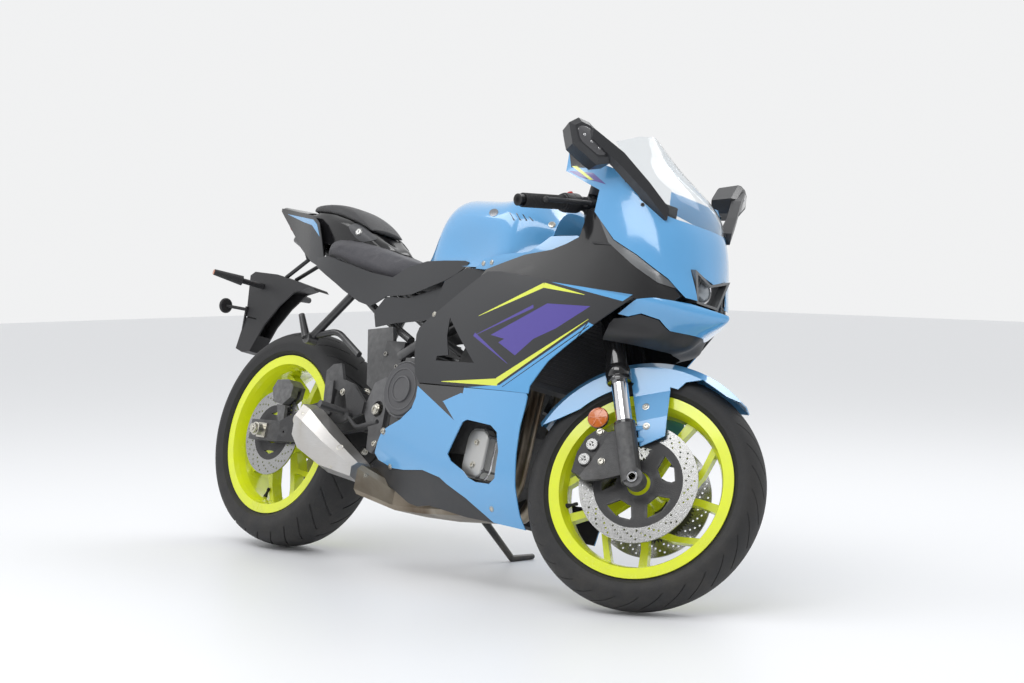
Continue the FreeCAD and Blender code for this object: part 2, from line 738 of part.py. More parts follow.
def main_frame():
    """Steering head, two side spars, the engine hangers and the pivot plates behind the engine."""
    radius = size("frameTubeRadius")
    low = on_fork(size("lowerYokeHeight") + size("yokeThickness") / 2 + 4, 0)
    high = on_fork(size("topYokeHeight") - size("yokeThickness") / 2 - 4, 0)
    head = rod(low, high, size("headTubeRadius"))
    stem = rod(low, high, size("stemRadius") + 0.4)
    shapes = [head]
    for sign in (-1, 1):
        top = pipe([high + (low - high) * 0.55 + Vector(-22, sign * 12, 0),
                    Vector(940, sign * 116, 775), Vector(700, sign * 132, 640),
                    Vector(pivot.x + 30, sign * 122, 560)], radius, 60)
        brace = pipe([low + (high - low) * 0.12 + Vector(-22, sign * 12, 0),
                      Vector(940, sign * 118, 738), Vector(720, sign * 130, 634)], radius - 3, 50)
        plate = side_plate([(pivot.x - 34, 600), (pivot.x + 44, 600), (pivot.x + 40, 470),
                            (pivot.x + 44, 330), (pivot.x + 10, 300), (pivot.x - 30, 330),
                            (pivot.x - 44, 420)], sign * 114, sign * 132)
        heel = side_plate([(381, 628), (486, 640), (500, 600), (500, 480), (452, 462), (424, 476),
                           (412, 520), (392, 590)], sign * 116, sign * 128)
        hanger = side_plate([(846, 728), (890, 744), (914, 690), (872, 692)], sign * 80.3, sign * 118)
        shapes += [top, brace, plate, heel, hanger]
    cross = [rod(Vector(shockTop.x, -114, shockTop.z), Vector(shockTop.x, 114, shockTop.z), 14)]
    bracket = side_plate([(528, 334), (556, 334), (618, 264), (618, 222), (566, 216), (532, 284)],
                         108, 118)
    ear = rod(standTop - standAxis * (standBoss + 10), standTop - standAxis * standGap, 20)
    nose_stay = block(1112, 1262 - size("hubClearance"), -22, 22, 863, 873)
    whole = fuse(shapes + cross + [bracket, ear, nose_stay])
    bore = rod(pivot - acrossY * 200, pivot + acrossY * 200, size("pivotRadius"))
    feature("main_frame", whole.cut(stem).cut(bore), "chassis")


def pivot_axle():
    """Swingarm pivot with the plates that cover its ends."""
    half = 150
    axle = rod(pivot - acrossY * half, pivot + acrossY * half, size("pivotRadius") - 0.2)
    outline = [(pivot.x - 60, 402), (pivot.x - 34, 480), (pivot.x + 14, 500), (pivot.x + 30, 440),
               (pivot.x + 34, 330), (pivot.x + 12, 288), (pivot.x - 14, 296), (pivot.x - 22, 350)]
    shapes = [axle]
    for sign in (-1, 1):
        cover = side_plate(outline, sign * 132.3, sign * 144)
        shapes.append(cover.cut(rod(pivot - acrossY * 200, pivot + acrossY * 200, 22)))
    feature("pivot_covers", Part.makeCompound(shapes[1:]), "chassis")
    feature("pivot_axle", axle, "chassis")


def swingarm():
    """Two tapering beams, their cross beam and pivot tube, with slotted axle ends."""
    shapes = [rod(pivot - acrossY * 112, pivot + acrossY * 112, size("pivotRadius") + 12)]
    # x, inner and outer face from the centre plane, bottom, top right, top left
    stations = [(pivot.x + 8, 80, 112, pivot.z - 34, pivot.z + 38, pivot.z + 28),
                (330, 84, 114, 338, 450, 430),
                (180, 104, 126, 300, 399, 392),
                (70, 108, armOuter, 288, 348, 348),
                (-62, 108, armOuter, 286, 344, 344)]
    for sign in (-1, 1):
        sections = []
        for x, inner, outer, low, high_right, high_left in stations:
            high = high_right if sign < 0 else high_left
            sections.append(polygon([Vector(x, sign * inner, low), Vector(x, sign * outer, low),
                                     Vector(x, sign * outer, high), Vector(x, sign * inner, high)]))
        shapes.append(Part.makeLoft(sections, True, True))
    cross = side_plate([(350, 352), (417, 352), (417, 424), (356, 424)], -86, 86)
    lugs = [side_plate([(380, 352), (417, 352), (446, 332), (446, 306), (424, 304)],
                       sign * 12.3, sign * 20) for sign in (-1, 1)]
    whole = fuse(shapes + [cross] + lugs)
    tunnel = rod(pivot - acrossY * 200, pivot + acrossY * 200, size("pivotRadius"))
    whole = whole.cut(tunnel).cut(rear_slot())
    for sign in (-1, 1):
        start = Vector(size("spoolX"), sign * (armOuter - size("spoolDepth")), size("spoolZ"))
        end = Vector(size("spoolX"), sign * (armOuter + 12), size("spoolZ"))
        whole = whole.cut(rod(start, end, size("spoolHoleRadius")))
    feature("swingarm", whole, "chassis")


armOuter = 128


def rear_slot():
    """Slot for the rear axle through both arm ends."""
    radius = size("rearAxleRadius")
    slot = rod(rearAxle - acrossY * 200, rearAxle + acrossY * 200, radius)
    slot = slot.fuse(rod(rearAxle + Vector(-24, -200, 0), rearAxle + Vector(-24, 200, 0), radius))
    flat = block(-24, 0, -200, 200, rearAxle.z - radius, rearAxle.z + radius)
    return slot.fuse(flat).removeSplitter()


def rear_axle():
    """Rear axle with its adjuster blocks, washer and nut."""
    half = size("rearAxleHalfLength")
    radius = size("rearAxleRadius")
    shaft = rod(rearAxle - acrossY * half, rearAxle + acrossY * half, radius - 0.2)
    sleeve = rod(rearAxle - acrossY * 107.8, rearAxle + acrossY * 107.8, size("axleRadius"))
    shapes = [shaft, sleeve]
    for sign in (-1, 1):
        shapes.append(side_plate([(-20, 294), (20, 294), (20, 336), (-20, 336)], sign * 128.2, sign * 134))
        shapes.append(rod(rearAxle + acrossY * sign * 134, rearAxle + acrossY * sign * (half + 6), 17))
    spacers = [rod(rearAxle + acrossY * sign * (rearHubHalf + hub), rearAxle + acrossY * sign * 107.8, 18)
               for sign, hub in ((-1, 8.5), (1, 15))]
    feature("rear_axle", fuse(shapes + spacers), "chassis")


clutchCentre = Vector(650, -140, 464)


def engine():
    """Crankcase block, inclined cylinders with head, and the covers on both sides."""
    half = 140
    case = side_plate([(582, 556), (566, 400), (570, 320), (944, 320), (950, 400), (900, 470),
                       (800, 500), (700, 560)], -half, half)
    low = side_plate([(570, 320), (582, 262), (650, 232), (860, 232), (940, 266), (944, 320)],
                     -105, 105)
    sump = side_plate([(720, 232), (850, 232), (838, 214), (732, 214)], -60, 60)
    well = block(540, 662, 78, half + 1, 350, 486)
    drive = Vector(driveX, 70, driveZ)
    case = fuse([case, low, sump]).cut(well).fuse(rod(drive, drive + acrossY * 30, 34))
    feature("engine_case", case.removeSplitter(), "chassis")
    barrel = side_plate([(720, 540), (800, 490), (902, 462), (975, 640), (800, 720)], -86, 86)
    head = side_plate([(800, 720), (975, 640), (1010, 712), (984, 745), (850, 800), (824, 772)],
                      -80, 80)
    feature("cylinder_head", fuse([barrel, head]).cut(case), "chassis")
    reach = size("clutchCoverRadius")
    clutch = fuse([cone(clutchCentre, clutchCentre - acrossY * 44, reach + 2, reach),
                   cone(clutchCentre - acrossY * 44, clutchCentre - acrossY * 50, reach - 5, reach - 9),
                   rod(clutchCentre - acrossY * 50, clutchCentre - acrossY * 53, 34)])
    alternator = fuse([cone(Vector(800, half, 370), Vector(800, half + 16, 370), 82, 78),
                       rod(Vector(800, half + 16, 370), Vector(800, half + 19, 370), 60)])
    sprocket = side_plate([(557, 466), (590, 485.7), (661.7, 485.7), (661.7, 350.3), (600, 350.3),
                           (558, 366)], 109, half - 2)
    pump = side_plate([(918, 262), (974, 258), (990, 280), (992, 370), (972, 388), (925, 386),
                       (912, 366), (908, 284)], -160, -100)
    pump = pump.makeChamfer(4, [edge for edge in pump.Edges
                                if all(abs(point.Y + 160) < 1 for point in edge.Vertexes)])
    pump = pump.cut(case)
    feature("engine_covers", Part.makeCompound([clutch, alternator, sprocket, pump]), "chassis")


def radiator():
    """Curved-free core between two side tanks, with its lower guard bar."""
    high = 241
    side = 160
    reach = 186
    core = block(0, 28, -side, side, 6, high)
    tanks = [block(-4, 34, side, reach, 6, high), block(-4, 34, -reach, -side, 6, high)]
    bar = block(-2, 34, -reach, reach, -6, 6)
    cap = block(-2, 34, -reach, reach, high, high + 10)
    whole = fuse([core] + tanks + [bar, cap])
    whole.Placement = Placement(Vector(1088, 0, 506), Rotation(acrossY, -12))
    posts = [boss(Vector(1048, sign * 50, 748), Vector(1044, sign * 50, 812), 8, "main_frame")
             for sign in (-1, 1)]
    feature("radiator", fuse([whole] + posts), "chassis")


def exhaust():
    """Two header pipes, the chamber under the engine and the short silencer on the right."""
    pipes = []
    for side in (-42, 42):
        pipes.append(pipe([Vector(993.4, side, 675.3), Vector(1022, side, 661.4),
                           Vector(1012, side, 520), Vector(1000, side, 262),
                           Vector(958, side, 189), Vector(850.3, side, 189)], 19, 38))
    feature("exhaust_headers", Part.makeCompound(pipes), "chassis")
    # x, right, left, bottom, top of the chamber's eight-sided sections
    rows = [(850, -82, 74, 166, 212), (717, -100, 56, 154, 210), (632, -128, 10, 150, 212),
            (566.3, -214, -90, 172, 250)]
    sections = []
    for x, right, left, low, high in rows:
        cut = 12
        sections.append([Vector(x, y, z) for y, z in
                         ((right, low + cut), (right + cut, low), (left - cut, low),
                          (left, low + cut), (left, high - cut), (left - cut, high),
                          (right + cut, high), (right, high - cut))])
    feature("exhaust_box", loft(sections), "chassis")
    # x, then the outline's corners as (y, z)
    rows = [(566, [(-235, 214), (-202, 201), (-172, 208), (-166, 244), (-178, 256), (-218, 254),
                   (-237, 240)]),
            (430, [(-240, 232), (-202, 217), (-164, 229), (-160, 306), (-175, 326), (-222, 320),
                   (-242, 294)]),
            (322, [(-240, 270), (-204, 256), (-162, 267), (-160, 366), (-176, 386), (-222, 380),
                   (-243, 344)]),
            (284, [(-238, 304), (-204, 292), (-164, 302), (-164, 374), (-178, 398), (-220, 392),
                   (-240, 358)]),
            (275, [(-230, 322), (-204, 312), (-170, 320), (-170, 364), (-182, 384), (-214, 380),
                   (-231, 350)])]
    can = loft([[Vector(x, y, z) for y, z in ring] for x, ring in rows])
    mouth = rod(Vector(250, -200, 352), Vector(345, -200, 332), 17)
    feature("silencer", can.cut(mouth), "chassis")


def shock():
    """Single rear damper with its spring, between the swingarm and the frame's cross tube."""
    low = Vector(436, 0, 318)
    along = (shockTop - low).normalize()
    body = rod(low - along * 8, shockTop, 12)
    sleeve = rod(low + along * 46, low + along * 215, 22)
    seat = rod(shockTop - acrossY * 60, shockTop + acrossY * 60, 14 + size("hubClearance"))
    feature("rear_shock", fuse([body, sleeve]).cut(seat), "chassis")


driveX = 600
driveZ = 418


def rear_caliper():
    plane = -size("rearDiscPlane")
    gap = size("discThickness") / 2 + 3
    outline = [(10, 402), (52, 396), (84, 420), (88, 452), (60, 470), (8, 466), (-8, 440)]
    inner = side_plate(outline, plane + gap, plane + gap + 12)
    outer = side_plate(outline, plane - gap, plane - gap - 22)
    bridge = side_plate([(0, 448), (62, 448), (84, 440), (88, 452), (60, 470), (8, 466)],
                        plane - gap - 1, plane + gap + 1)
    arm = side_plate([(20, 396), (60, 396), (66, 348.2), (40, 347.4)], plane - gap - 16, plane - gap - 6)
    feature("rear_caliper", fuse([inner, outer, bridge, arm]), "chassis")


def chain():
    """Chain loop from the driven to the drive sprocket, along the left side."""
    plane = rearHubHalf + 7
    teeth = 42
    big = 15.875 / (2 * math.sin(math.pi / teeth))
    small = 15.875 / (2 * math.sin(math.pi / 16))
    drive = Vector(driveX, plane, driveZ)
    driven = rearAxle + acrossY * plane
    gap = drive - driven
    lean = math.atan2(gap.z, gap.x)
    spread = math.asin((big - small) / gap.Length)

    def loop(extra):
        upper = lean + math.pi / 2 + spread
        lower = lean - math.pi / 2 - spread
        def at(centre, radius, angle):
            return centre + Vector(math.cos(angle), 0, math.sin(angle)) * radius
        a = at(driven, big + extra, upper)
        b = at(drive, small + extra, upper)
        c = at(drive, small + extra, lower)
        d = at(driven, big + extra, lower)
        edges = [Part.LineSegment(a, b).toShape(),
                 Part.Arc(b, at(drive, small + extra, lean), c).toShape(),
                 Part.LineSegment(c, d).toShape(),
                 Part.Arc(d, at(driven, big + extra, lean + math.pi), a).toShape()]
        return Part.Face(Part.Wire(edges))
    half = 8
    band = loop(8).cut(loop(5.2))
    feature("chain", band.extrude(acrossY * 2 * half).translated(acrossY * -half), "chassis")


# ---- bodywork ----------------------------------------------------------------

def fuel_tank():
    """Tank with deep knee recesses and a nose cut back for the bars."""
    stations = [
        (522, [(0, 832), (50, 829), (76, 818), (84, 806), (80, 796)]),
        (556, [(0, 868), (56, 864), (92, 842), (108, 822), (104, 800)]),
        (588, [(0, 946), (70, 938), (108, 900), (122, 852), (124, 806)]),
        (616, [(0, 992), (84, 982), (124, 938), (134, 872), (136, 810)]),
        (700, [(0, 1012), (96, 1002), (144, 958), (140, 880), (146, 812)]),
        (850, [(0, 1016), (100, 1004), (152, 950), (152, 872), (156, 812)]),
        (950, [(0, 1004), (84, 991), (124, 944), (130, 900), (136, 846)]),
        (1006, [(0, 984), (62, 973), (84, 936), (90, 906), (92, 872)]),
    ]
    tank = crown_loft(stations)
    feet = [boss(Vector(930, sign * 100, 850), Vector(930, sign * 113, 750), 9, "main_frame")
            for sign in (-1, 1)]
    tank = fuse([tank.cut(block(840, 1010, -100, 100, 780, 838))] + feet)
    cap = rod(Vector(860, 0, 990), Vector(862, 0, 1022), 46)
    feature("fuel_tank", tank.cut(cap), "chassis")
    lid = rod(Vector(860, 0, 1000), Vector(861, 0, 1021), 45.7)
    feature("filler_cap", lid.cut(tank.cut(cap)), "chassis")


def tank_covers():
    """Wings under the tank's flanks that run forward beside the steering head."""
    levels = [
        (795, [(790, -160), (855, -163), (960, -170), (1060, -168), (1160, -152)]),
        (830, [(790, -161), (855, -164.5), (960, -169), (1060, -166), (1160, -150)]),
        (905, [(790, -158), (855, -162), (960, -158), (1060, -150), (1200, -136)]),
    ]
    outline = [(812, 802), (850, 800), (930, 806), (1010, 828), (1110, 846), (1152, 866), (1186, 884),
               (1150, 898), (1066, 893), (1039, 869), (1012, 848), (919, 841), (844, 828)]
    tank = nodeObject["fuel_tank"].Shape.translated(Vector(0, -size("hubClearance"), 0))
    wing = level_skin(levels, panelWall).common(side_plate(outline, -300, 0)).cut(tank)
    post = boss(Vector(858, -163, 824.5), Vector(858, -60, 824.5), 6, "fuel_tank")
    feature("tank_covers", both_sides(biggest(fuse([wing, post]))), "chassis")


def rider_seat():
    """Plain closed form of the rider's cushion."""
    rows = [
        (86, [(0, 24), (60, 24), (92, 20), (98, 14), (96, 8)]),
        (104, [(0, 57), (76, 55), (106, 42), (112, 22), (108, 4)]),
        (130, [(0, 60), (84, 56), (114, 42), (120, 18), (112, 0)]),
        (191, [(0, 56), (88, 51), (118, 34), (125, 4), (116, -15)]),
        (300, [(0, 36), (84, 32), (114, 12), (124, -20), (114, -42)]),
        (399, [(0, 12), (72, 10), (102, -8), (112, -36), (104, -57)]),
        (458, [(0, 1), (58, -1), (82, -14), (92, -34), (86, -55)]),
        (510, [(0, 2), (44, 1), (60, -8), (68, -22), (66, -36)]),
    ]
    stations = [(x, [(y, above_seat(rise)) for y, rise in half]) for x, half in rows]
    cushion = crown_loft(stations).cut(hump_base_shape(size("hubClearance")))
    feature("rider_seat", cushion, "chassis")


def hump_base_shape(grow=0):
    """Rigid housing under the passenger pad, falling to the rider's seat in front."""
    rows = [
        (-76, [(0, 140), (56, 140), (62, 134), (62, 112), (60, 100)]),
        (-30, [(0, 140), (68, 140), (74, 132), (76, 100), (74, 70)]),
        (60, [(0, 133), (76, 133), (84, 124), (86, 80), (82, 44)]),
        (130, [(0, 118), (76, 118), (84, 110), (86, 70), (80, 40)]),
        (190, [(0, 98), (70, 98), (78, 90), (80, 60), (74, 34)]),
        (222, [(0, 82), (64, 82), (72, 76), (74, 52), (70, 28)]),
        (262, [(0, 62), (56, 60), (62, 54), (64, 38), (60, 20)]),
        (300, [(0, 40), (44, 39), (52, 34), (54, 24), (50, 10)]),
    ]
    stations = []
    for x, half in rows:
        ring = [(y + grow if y else 0, above_seat(rise) + grow) for y, rise in half[:-1]]
        ring.append((half[-1][0] + grow, above_seat(half[-1][1]) - grow))
        stations.append((x, ring))
    if grow:
        stations[-1] = (stations[-1][0] + grow, stations[-1][1])
    return crown_loft(stations)


def hump_shape():
    """Passenger pad on its base."""
    rows = [
        (-74, [(0, 168), (36, 166), (54, 158), (60, 146), (58, 140.3)]),
        (-30, [(0, 172), (42, 170), (64, 162), (72, 148), (70, 140.3)]),
        (60, [(0, 170), (46, 167), (70, 156), (80, 140), (78, 133.3)]),
        (130, [(0, 153), (46, 149), (70, 138), (80, 124), (78, 118.3)]),
        (190, [(0, 124), (42, 120), (64, 112), (74, 102), (72, 98.3)]),
        (222, [(0, 98), (34, 96), (54, 92), (62, 86), (60, 82.3)]),
    ]
    return crown_loft([(x, [(y, above_seat(rise)) for y, rise in half]) for x, half in rows])


# line where the pad rests on its housing, as (x, rise above the seat)
humpRest = [(-90, 140), (-30, 140), (60, 133), (130, 118), (190, 98), (222, 82), (224, 81)]


def rear_hump():
    gap = size("hubClearance")
    under = [(x, above_seat(rise) + gap) for x, rise in humpRest]
    under += [(humpRest[-1][0] + 20, above_seat(20)), (humpRest[0][0], above_seat(20))]
    feature("rear_hump", biggest(hump_shape().cut(side_plate(under, -120, 120))), "chassis")


def tail_cowl():
    """Pointed tail: two flanks and a deck, with the housing under the passenger pad."""
    wall = panelWall
    # x, then the flank's lower and upper corner as (distance out, rise above the seat)
    flank = [(-287, (19, 152), (19, 168)), (-200, (40, 100), (40, 158)), (-81, (70, 26), (76, 142)),
             (15, (95, -22), (102, 130)), (118, (112, -52), (112, 124))]
    outline = [(-300, 172), (-268, 166), (-16, 126), (25, 102), (55, 58), (93, -8), (114, -41),
               (15, -13), (-81, 33), (-282, 156), (-300, 168)]
    trim = side_plate([(x, above_seat(rise)) for x, rise in outline], -200, 200)
    shapes = []
    for sign in (-1, 1):
        rings = []
        for x, low, high in flank:
            rings.append(polygon([Vector(x, sign * low[0], above_seat(low[1])),
                                  Vector(x, sign * high[0], above_seat(high[1])),
                                  Vector(x, sign * (high[0] - wall), above_seat(high[1])),
                                  Vector(x, sign * (low[0] - wall), above_seat(low[1]))]))
        shapes.append(Part.makeLoft(rings, True, False).common(trim))
    rings = []
    for x, side, rise in ((-284, 17, 164), (-200, 38, 154), (-75, 74, 137)):
        outer = [(-side, rise), (-side * 0.6, rise + 8), (0, rise + 11), (side * 0.6, rise + 8), (side, rise)]
        inner = [(y, z - wall) for y, z in outer]
        rings.append(skin_ring([Vector(x, y, above_seat(z)) for y, z in outer],
                               [Vector(x, y, above_seat(z)) for y, z in inner]))
    shapes.append(smooth_loft(rings))
    keel = side_plate([(x, above_seat(rise)) for x, rise in ((-270, 150), (-262, 158), (-120, 110), (-96, 60),
                                                             (-120, 62))], -14, 14)
    tail = fuse(shapes + [keel])
    posts = [boss(Vector(20, sign * 64, above_seat(70)), Vector(20, sign * 64, above_seat(-60)), 8,
                  "tail_frame") for sign in (-1, 1)]
    over = [(x, above_seat(rise)) for x, rise in humpRest]
    over += [(humpRest[-1][0], above_seat(200)), (humpRest[0][0], above_seat(200))]
    base = fuse([hump_base_shape()] + posts).cut(tail_tubes(size("hubClearance")))
    base = base.cut(side_plate(over, -120, 120))
    tail = tail.cut(hump_base_shape(size("hubClearance")))
    feature("tail_cowl", Part.makeCompound([biggest(tail), biggest(base)]), "chassis")


def seat_panels():
    """Long side panels under the seat, from the tail to the tank, with the covers below them."""
    levels = [
        (-150, [(60, -104), (250, -118), (420, -132), (600, -142), (780, -150)]),
        (-45, [(60, -110), (250, -130), (420, -130), (600, -142), (780, -150)]),
        (5, [(60, -112), (250, -133), (420, -126), (600, -138), (780, -148)]),
    ]
    skin = level_skin([(above_seat(rise), curve) for rise, curve in levels], panelWall)
    outline = [(66, -4), (69, -30), (189, -80), (228, -98), (312, -130), (368, -141), (397, -131),
               (438, -112), (547, -106), (602, -90), (683, -66), (727, -47), (764, -24), (768, -14),
               (752, -10), (668, -10), (585, -12), (503, -30), (446, -58), (345, -46), (240, -24), (131, -2)]
    clear = size("hubClearance")
    tank = nodeObject["fuel_tank"].Shape.translated(Vector(0, -clear, -clear))
    panel = skin.common(side_plate([(x, above_seat(rise)) for x, rise in outline], -300, 0)).cut(tank)
    cover = side_plate([(433, 722), (531, 721), (668, 758), (634, 664), (477, 648), (414, 636), (395, 678)],
                       -131, -127)
    cover = fuse([cover, boss(Vector(520, -128, 700), Vector(520, -80, 700), 7, "tail_frame"),
                  boss(Vector(572, -128, 670), Vector(572, -80, 670), 7, "tail_frame")])
    strap = side_plate([(691, 767), (770, 806), (844, 798), (718, 680), (690, 640), (655, 650)], -153, -147.2)
    post = boss(Vector(300, -128, above_seat(-66)), Vector(300, -60, above_seat(-66)), 7, "tail_frame")
    panel = biggest(fuse([panel, post]))
    feature("seat_panels", Part.makeCompound([both_sides(panel), both_sides(cover), both_sides(strap)]),
            "chassis")


def tail_tubes(grow=0):
    radius = size("tailTubeRadius") + grow
    shapes = []
    for sign in (-1, 1):
        shapes.append(pipe([Vector(600, sign * 100, 655), Vector(420, sign * 88, above_seat(-84)),
                            Vector(120, sign * 78, above_seat(-38)),
                            Vector(-150, sign * 40, above_seat(66))], radius, 60))
        shapes.append(pipe([Vector(540, sign * 100, 610), Vector(380, sign * 92, above_seat(-158)),
                            Vector(200, sign * 80, above_seat(-66))], radius, 50))
    cross = rod(Vector(100, -78, above_seat(-34)), Vector(100, 78, above_seat(-34)), radius - 2)
    return fuse(shapes + [cross])


def tail_frame():
    """Tail frame tubes from the spars to the tail light."""
    feature("tail_frame", tail_tubes(), "chassis")


plateLow = Vector(-359, 0, 562)
plateHigh = Vector(-347, 0, 692)
plateRise = (plateHigh - plateLow).normalize()
plateBack = Vector(-plateRise.z, 0, plateRise.x)
plateHoleUp = 100


def plate_hole(sign):
    """Middle of a number plate hole, on the carrier's rear face."""
    return plateLow + plateRise * plateHoleUp + acrossY * sign * plateHoleSide


def plate_bracket():
    """Mudguard arm and number plate holder that hang under the tail on two stays."""
    arm = side_plate([(-60, 762), (-130, 745), (-190, 700), (-245, 640), (-292, 556), (-330, 552),
                      (-364, 562), (-345, 665), (-367, 790), (-345, 802), (-230, 796), (-40, 760),
                      (-28, 751)], -26, 26)
    arm = arm.cut(side_plate([(-260, 700), (-210, 745), (-90, 752), (-150, 720), (-230, 640), (-300, 570),
                              (-320, 570)], -21, 21))
    low = plateLow + plateRise * 6
    corners = [low - acrossY * 20, low + acrossY * 20, plateHigh + acrossY * 34, plateHigh - acrossY * 34]
    plate = Part.Face(polygon(corners)).extrude(plateBack * -size("plateWall"))
    for sign in (-1, 1):
        centre = plate_hole(sign)
        plate = plate.cut(rod(centre + plateBack * 20, centre - plateBack * 20, size("plateHoleRadius")))
        arm = arm.cut(rod(centre + plateBack * 20, centre - plateBack * 60, size("plateHoleRadius") + 1))
    reflector = rod(Vector(-398, -72, 683), Vector(-350, -30, 683), 5)
    stays = [rod(Vector(-193, sign * 18, 790), Vector(-92, sign * 26, above_seat(8)), 6) for sign in (-1, 1)]
    tabs = [boss(Vector(-92, sign * 26, above_seat(8)), Vector(-92, sign * 50, above_seat(44)), 6,
                 "tail_frame") for sign in (-1, 1)]
    feature("plate_bracket", fuse([arm, plate, reflector] + stays + tabs), "chassis")


def rear_lights():
    """Tail light under the cowl's point and two stalked turn signals."""
    rows = ((-266, 12, 146, 158), (-205, 30, 100, 128), (-130, 44, 66, 96))
    rings = []
    for x, side, low, high in rows:
        rings.append([Vector(x, y, above_seat(z)) for y, z in
                      ((-side, low), (side, low), (side * 0.9, high), (-side * 0.9, high))])
    lamp = loft(rings).cut(nodeObject["tail_cowl"].Shape).cut(tail_tubes(size("hubClearance")))
    lamp = sorted(lamp.Solids, key=lambda solid: -solid.Volume)[0]
    shapes = [lamp]
    for sign in (-1, 1):
        stalk = cone(Vector(-290, sign * 27.8, 757), Vector(-302, sign * 100, 757), 9, 8)
        head = cone(Vector(-302, sign * 98, 757), Vector(-330, sign * 183, 762), 15, 9)
        shapes.append(fuse([stalk, head]))
    feature("rear_lights", Part.makeCompound(shapes), "chassis")


def nose_levels():
    halves = [
        (750, [(1130, -212), (1270, -196), (1345, -178), (1405, -152), (1460, -118), (1496, -80),
               (1512, -40), (1517, 0)]),
        (830, [(1120, -210), (1262, -200), (1332, -180), (1392, -155), (1444, -120), (1474, -80),
               (1491, -40), (1497, 0)]),
        (900, [(1108, -207), (1258, -200), (1325, -180), (1385, -155), (1428, -120), (1455, -80),
               (1470, -40), (1475, 0)]),
        (955, [(1100, -203), (1252, -200), (1315, -180), (1368, -155), (1405, -120), (1433, -80),
               (1447, -40), (1451, 0)]),
        (1010, [(1096, -200), (1240, -200), (1300, -184), (1345, -160), (1372, -122), (1390, -80),
                (1398, -40), (1400, 0)]),
        (1115, [(1094, -194), (1190, -196), (1250, -190), (1290, -180), (1310, -160), (1320, -90),
                (1324, -40), (1325, 0)]),
    ]
    return [(height, whole_curve(half)) for height, half in halves]


def nose_trim():
    """Side outline that the nose is cut to."""
    outline = [(1116, 1104), (1121, 1051), (1253, 1001), (1253, 945), (1320, 880), (1386, 848),
               (1456, 803), (1494, 764), (1540, 762), (1540, 950), (1452, 951), (1421, 956),
               (1389, 967), (1356, 995), (1296, 1053)]
    return side_plate(outline, -300, 300)


def around_nose(wall, outset=0):
    """The nose's shell made thicker, to cut what seats against it."""
    return level_skin(nose_levels(), wall, outset).common(nose_trim())


def nose_cowl():
    """Upper fairing: the pointed nose with its rear ears beside the screen."""
    whole = around_nose(panelWall)
    duct = end_plate([(-40, 700), (40, 700), (65, 838), (0, 816), (-65, 838)], 1380, 1600)
    feature("nose_cowl", whole.cut(duct), "chassis")


def upper_panels():
    """Gloss panels between the nose, the tank and the painted side panels, out to the beak."""
    levels = [
        (740, [(860, -196), (1000, -207), (1120, -209), (1262, -194), (1345, -171), (1405, -146),
               (1462, -108), (1500, -64), (1516, -24), (1520, 0)]),
        (790, [(860, -184), (1000, -199), (1120, -204), (1258, -196), (1338, -174), (1398, -150),
               (1450, -112), (1482, -66), (1494, -24), (1497, 0)]),
        (830, [(860, -170), (1000, -186), (1120, -198), (1256, -194), (1332, -175), (1392, -150),
               (1436, -115), (1462, -70), (1476, -26), (1479, 0)]),
        (955, [(860, -150), (1000, -168), (1120, -182), (1252, -194), (1315, -174), (1366, -149),
               (1400, -115), (1424, -72), (1440, -26), (1442, 0)]),
    ]
    outline = [(872, 776), (883, 796), (962, 820), (1018, 836), (1123, 848), (1175, 865), (1211, 882),
               (1223, 950), (1240, 956), (1252, 950), (1322, 886), (1388, 854), (1458, 809),
               (1484, 778), (1474, 752.8), (1440, 751.6), (1402, 741.4), (1350, 738), (1250, 744),
               (1100, 758), (964, 775), (900, 770)]
    panel = level_skin(levels, panelWall).common(side_plate(outline, -300, 0))
    nose = around_nose(panelWall + size("hubClearance"))
    side = level_skin(side_levels(), panelWall + size("hubClearance"), size("hubClearance"))
    panel = biggest(panel.cut(nose).cut(side))
    feature("upper_panels", both_sides(panel), "chassis")


def headlamps():
    """Central lamp in its duct and the two slim side lamps along the nose's edge."""
    gap = size("hubClearance") + 0.3
    duct = [(-40 + gap, 760), (40 - gap, 760), (65 - gap, 838 - gap), (0, 816 - gap), (-65 + gap, 838 - gap)]
    mouth = [(-34, 766), (34, 766), (54, 828), (0, 808), (-54, 828)]
    hood = end_plate(duct, 1418, 1496).cut(end_plate(mouth, 1430, 1600))
    lens = end_plate([(-34.2, 765.8), (34.2, 765.8), (54.2, 828.2), (0, 808.2), (-54.2, 828.2)], 1440, 1472)
    outline = [(1264, 932), (1318, 878), (1384, 846), (1454, 801), (1474, 782), (1440, 788), (1380, 822),
               (1305, 872)]
    strip = side_plate(outline, -300, 0)
    skin = nodeObject["upper_panels"].Shape.Solids[0]
    side = skin.translated(Vector(1.6, -2.6, 0.4)).cut(skin).common(strip)
    side = biggest(side).translated(Vector(0.2, -0.3, 0))
    side = biggest(side.cut(nodeObject["nose_cowl"].Shape))
    feature("headlamps", Part.makeCompound([fuse([hood, lens]), side, other_side(side)]), "chassis")


waistHeight = 481


def waist():
    """Plan curve where the side panel and the lower cowl meet."""
    return [(568, -197), (660, -198), (780, -198), (900, -202), (1040, -206), (1140, -203),
            (1250, -180), (1410, -110)]


def side_levels():
    return [
        (waistHeight, waist()),
        (600, [(568, -196), (660, -198), (780, -204), (900, -214), (1040, -222), (1140, -219),
               (1250, -202), (1410, -140)]),
        (700, [(568, -176), (660, -184), (780, -196), (900, -210), (1040, -221), (1140, -219),
               (1250, -206), (1410, -156)]),
        (800, [(568, -158), (660, -168), (780, -182), (900, -195), (1040, -206), (1140, -209),
               (1250, -202), (1410, -160)]),
    ]


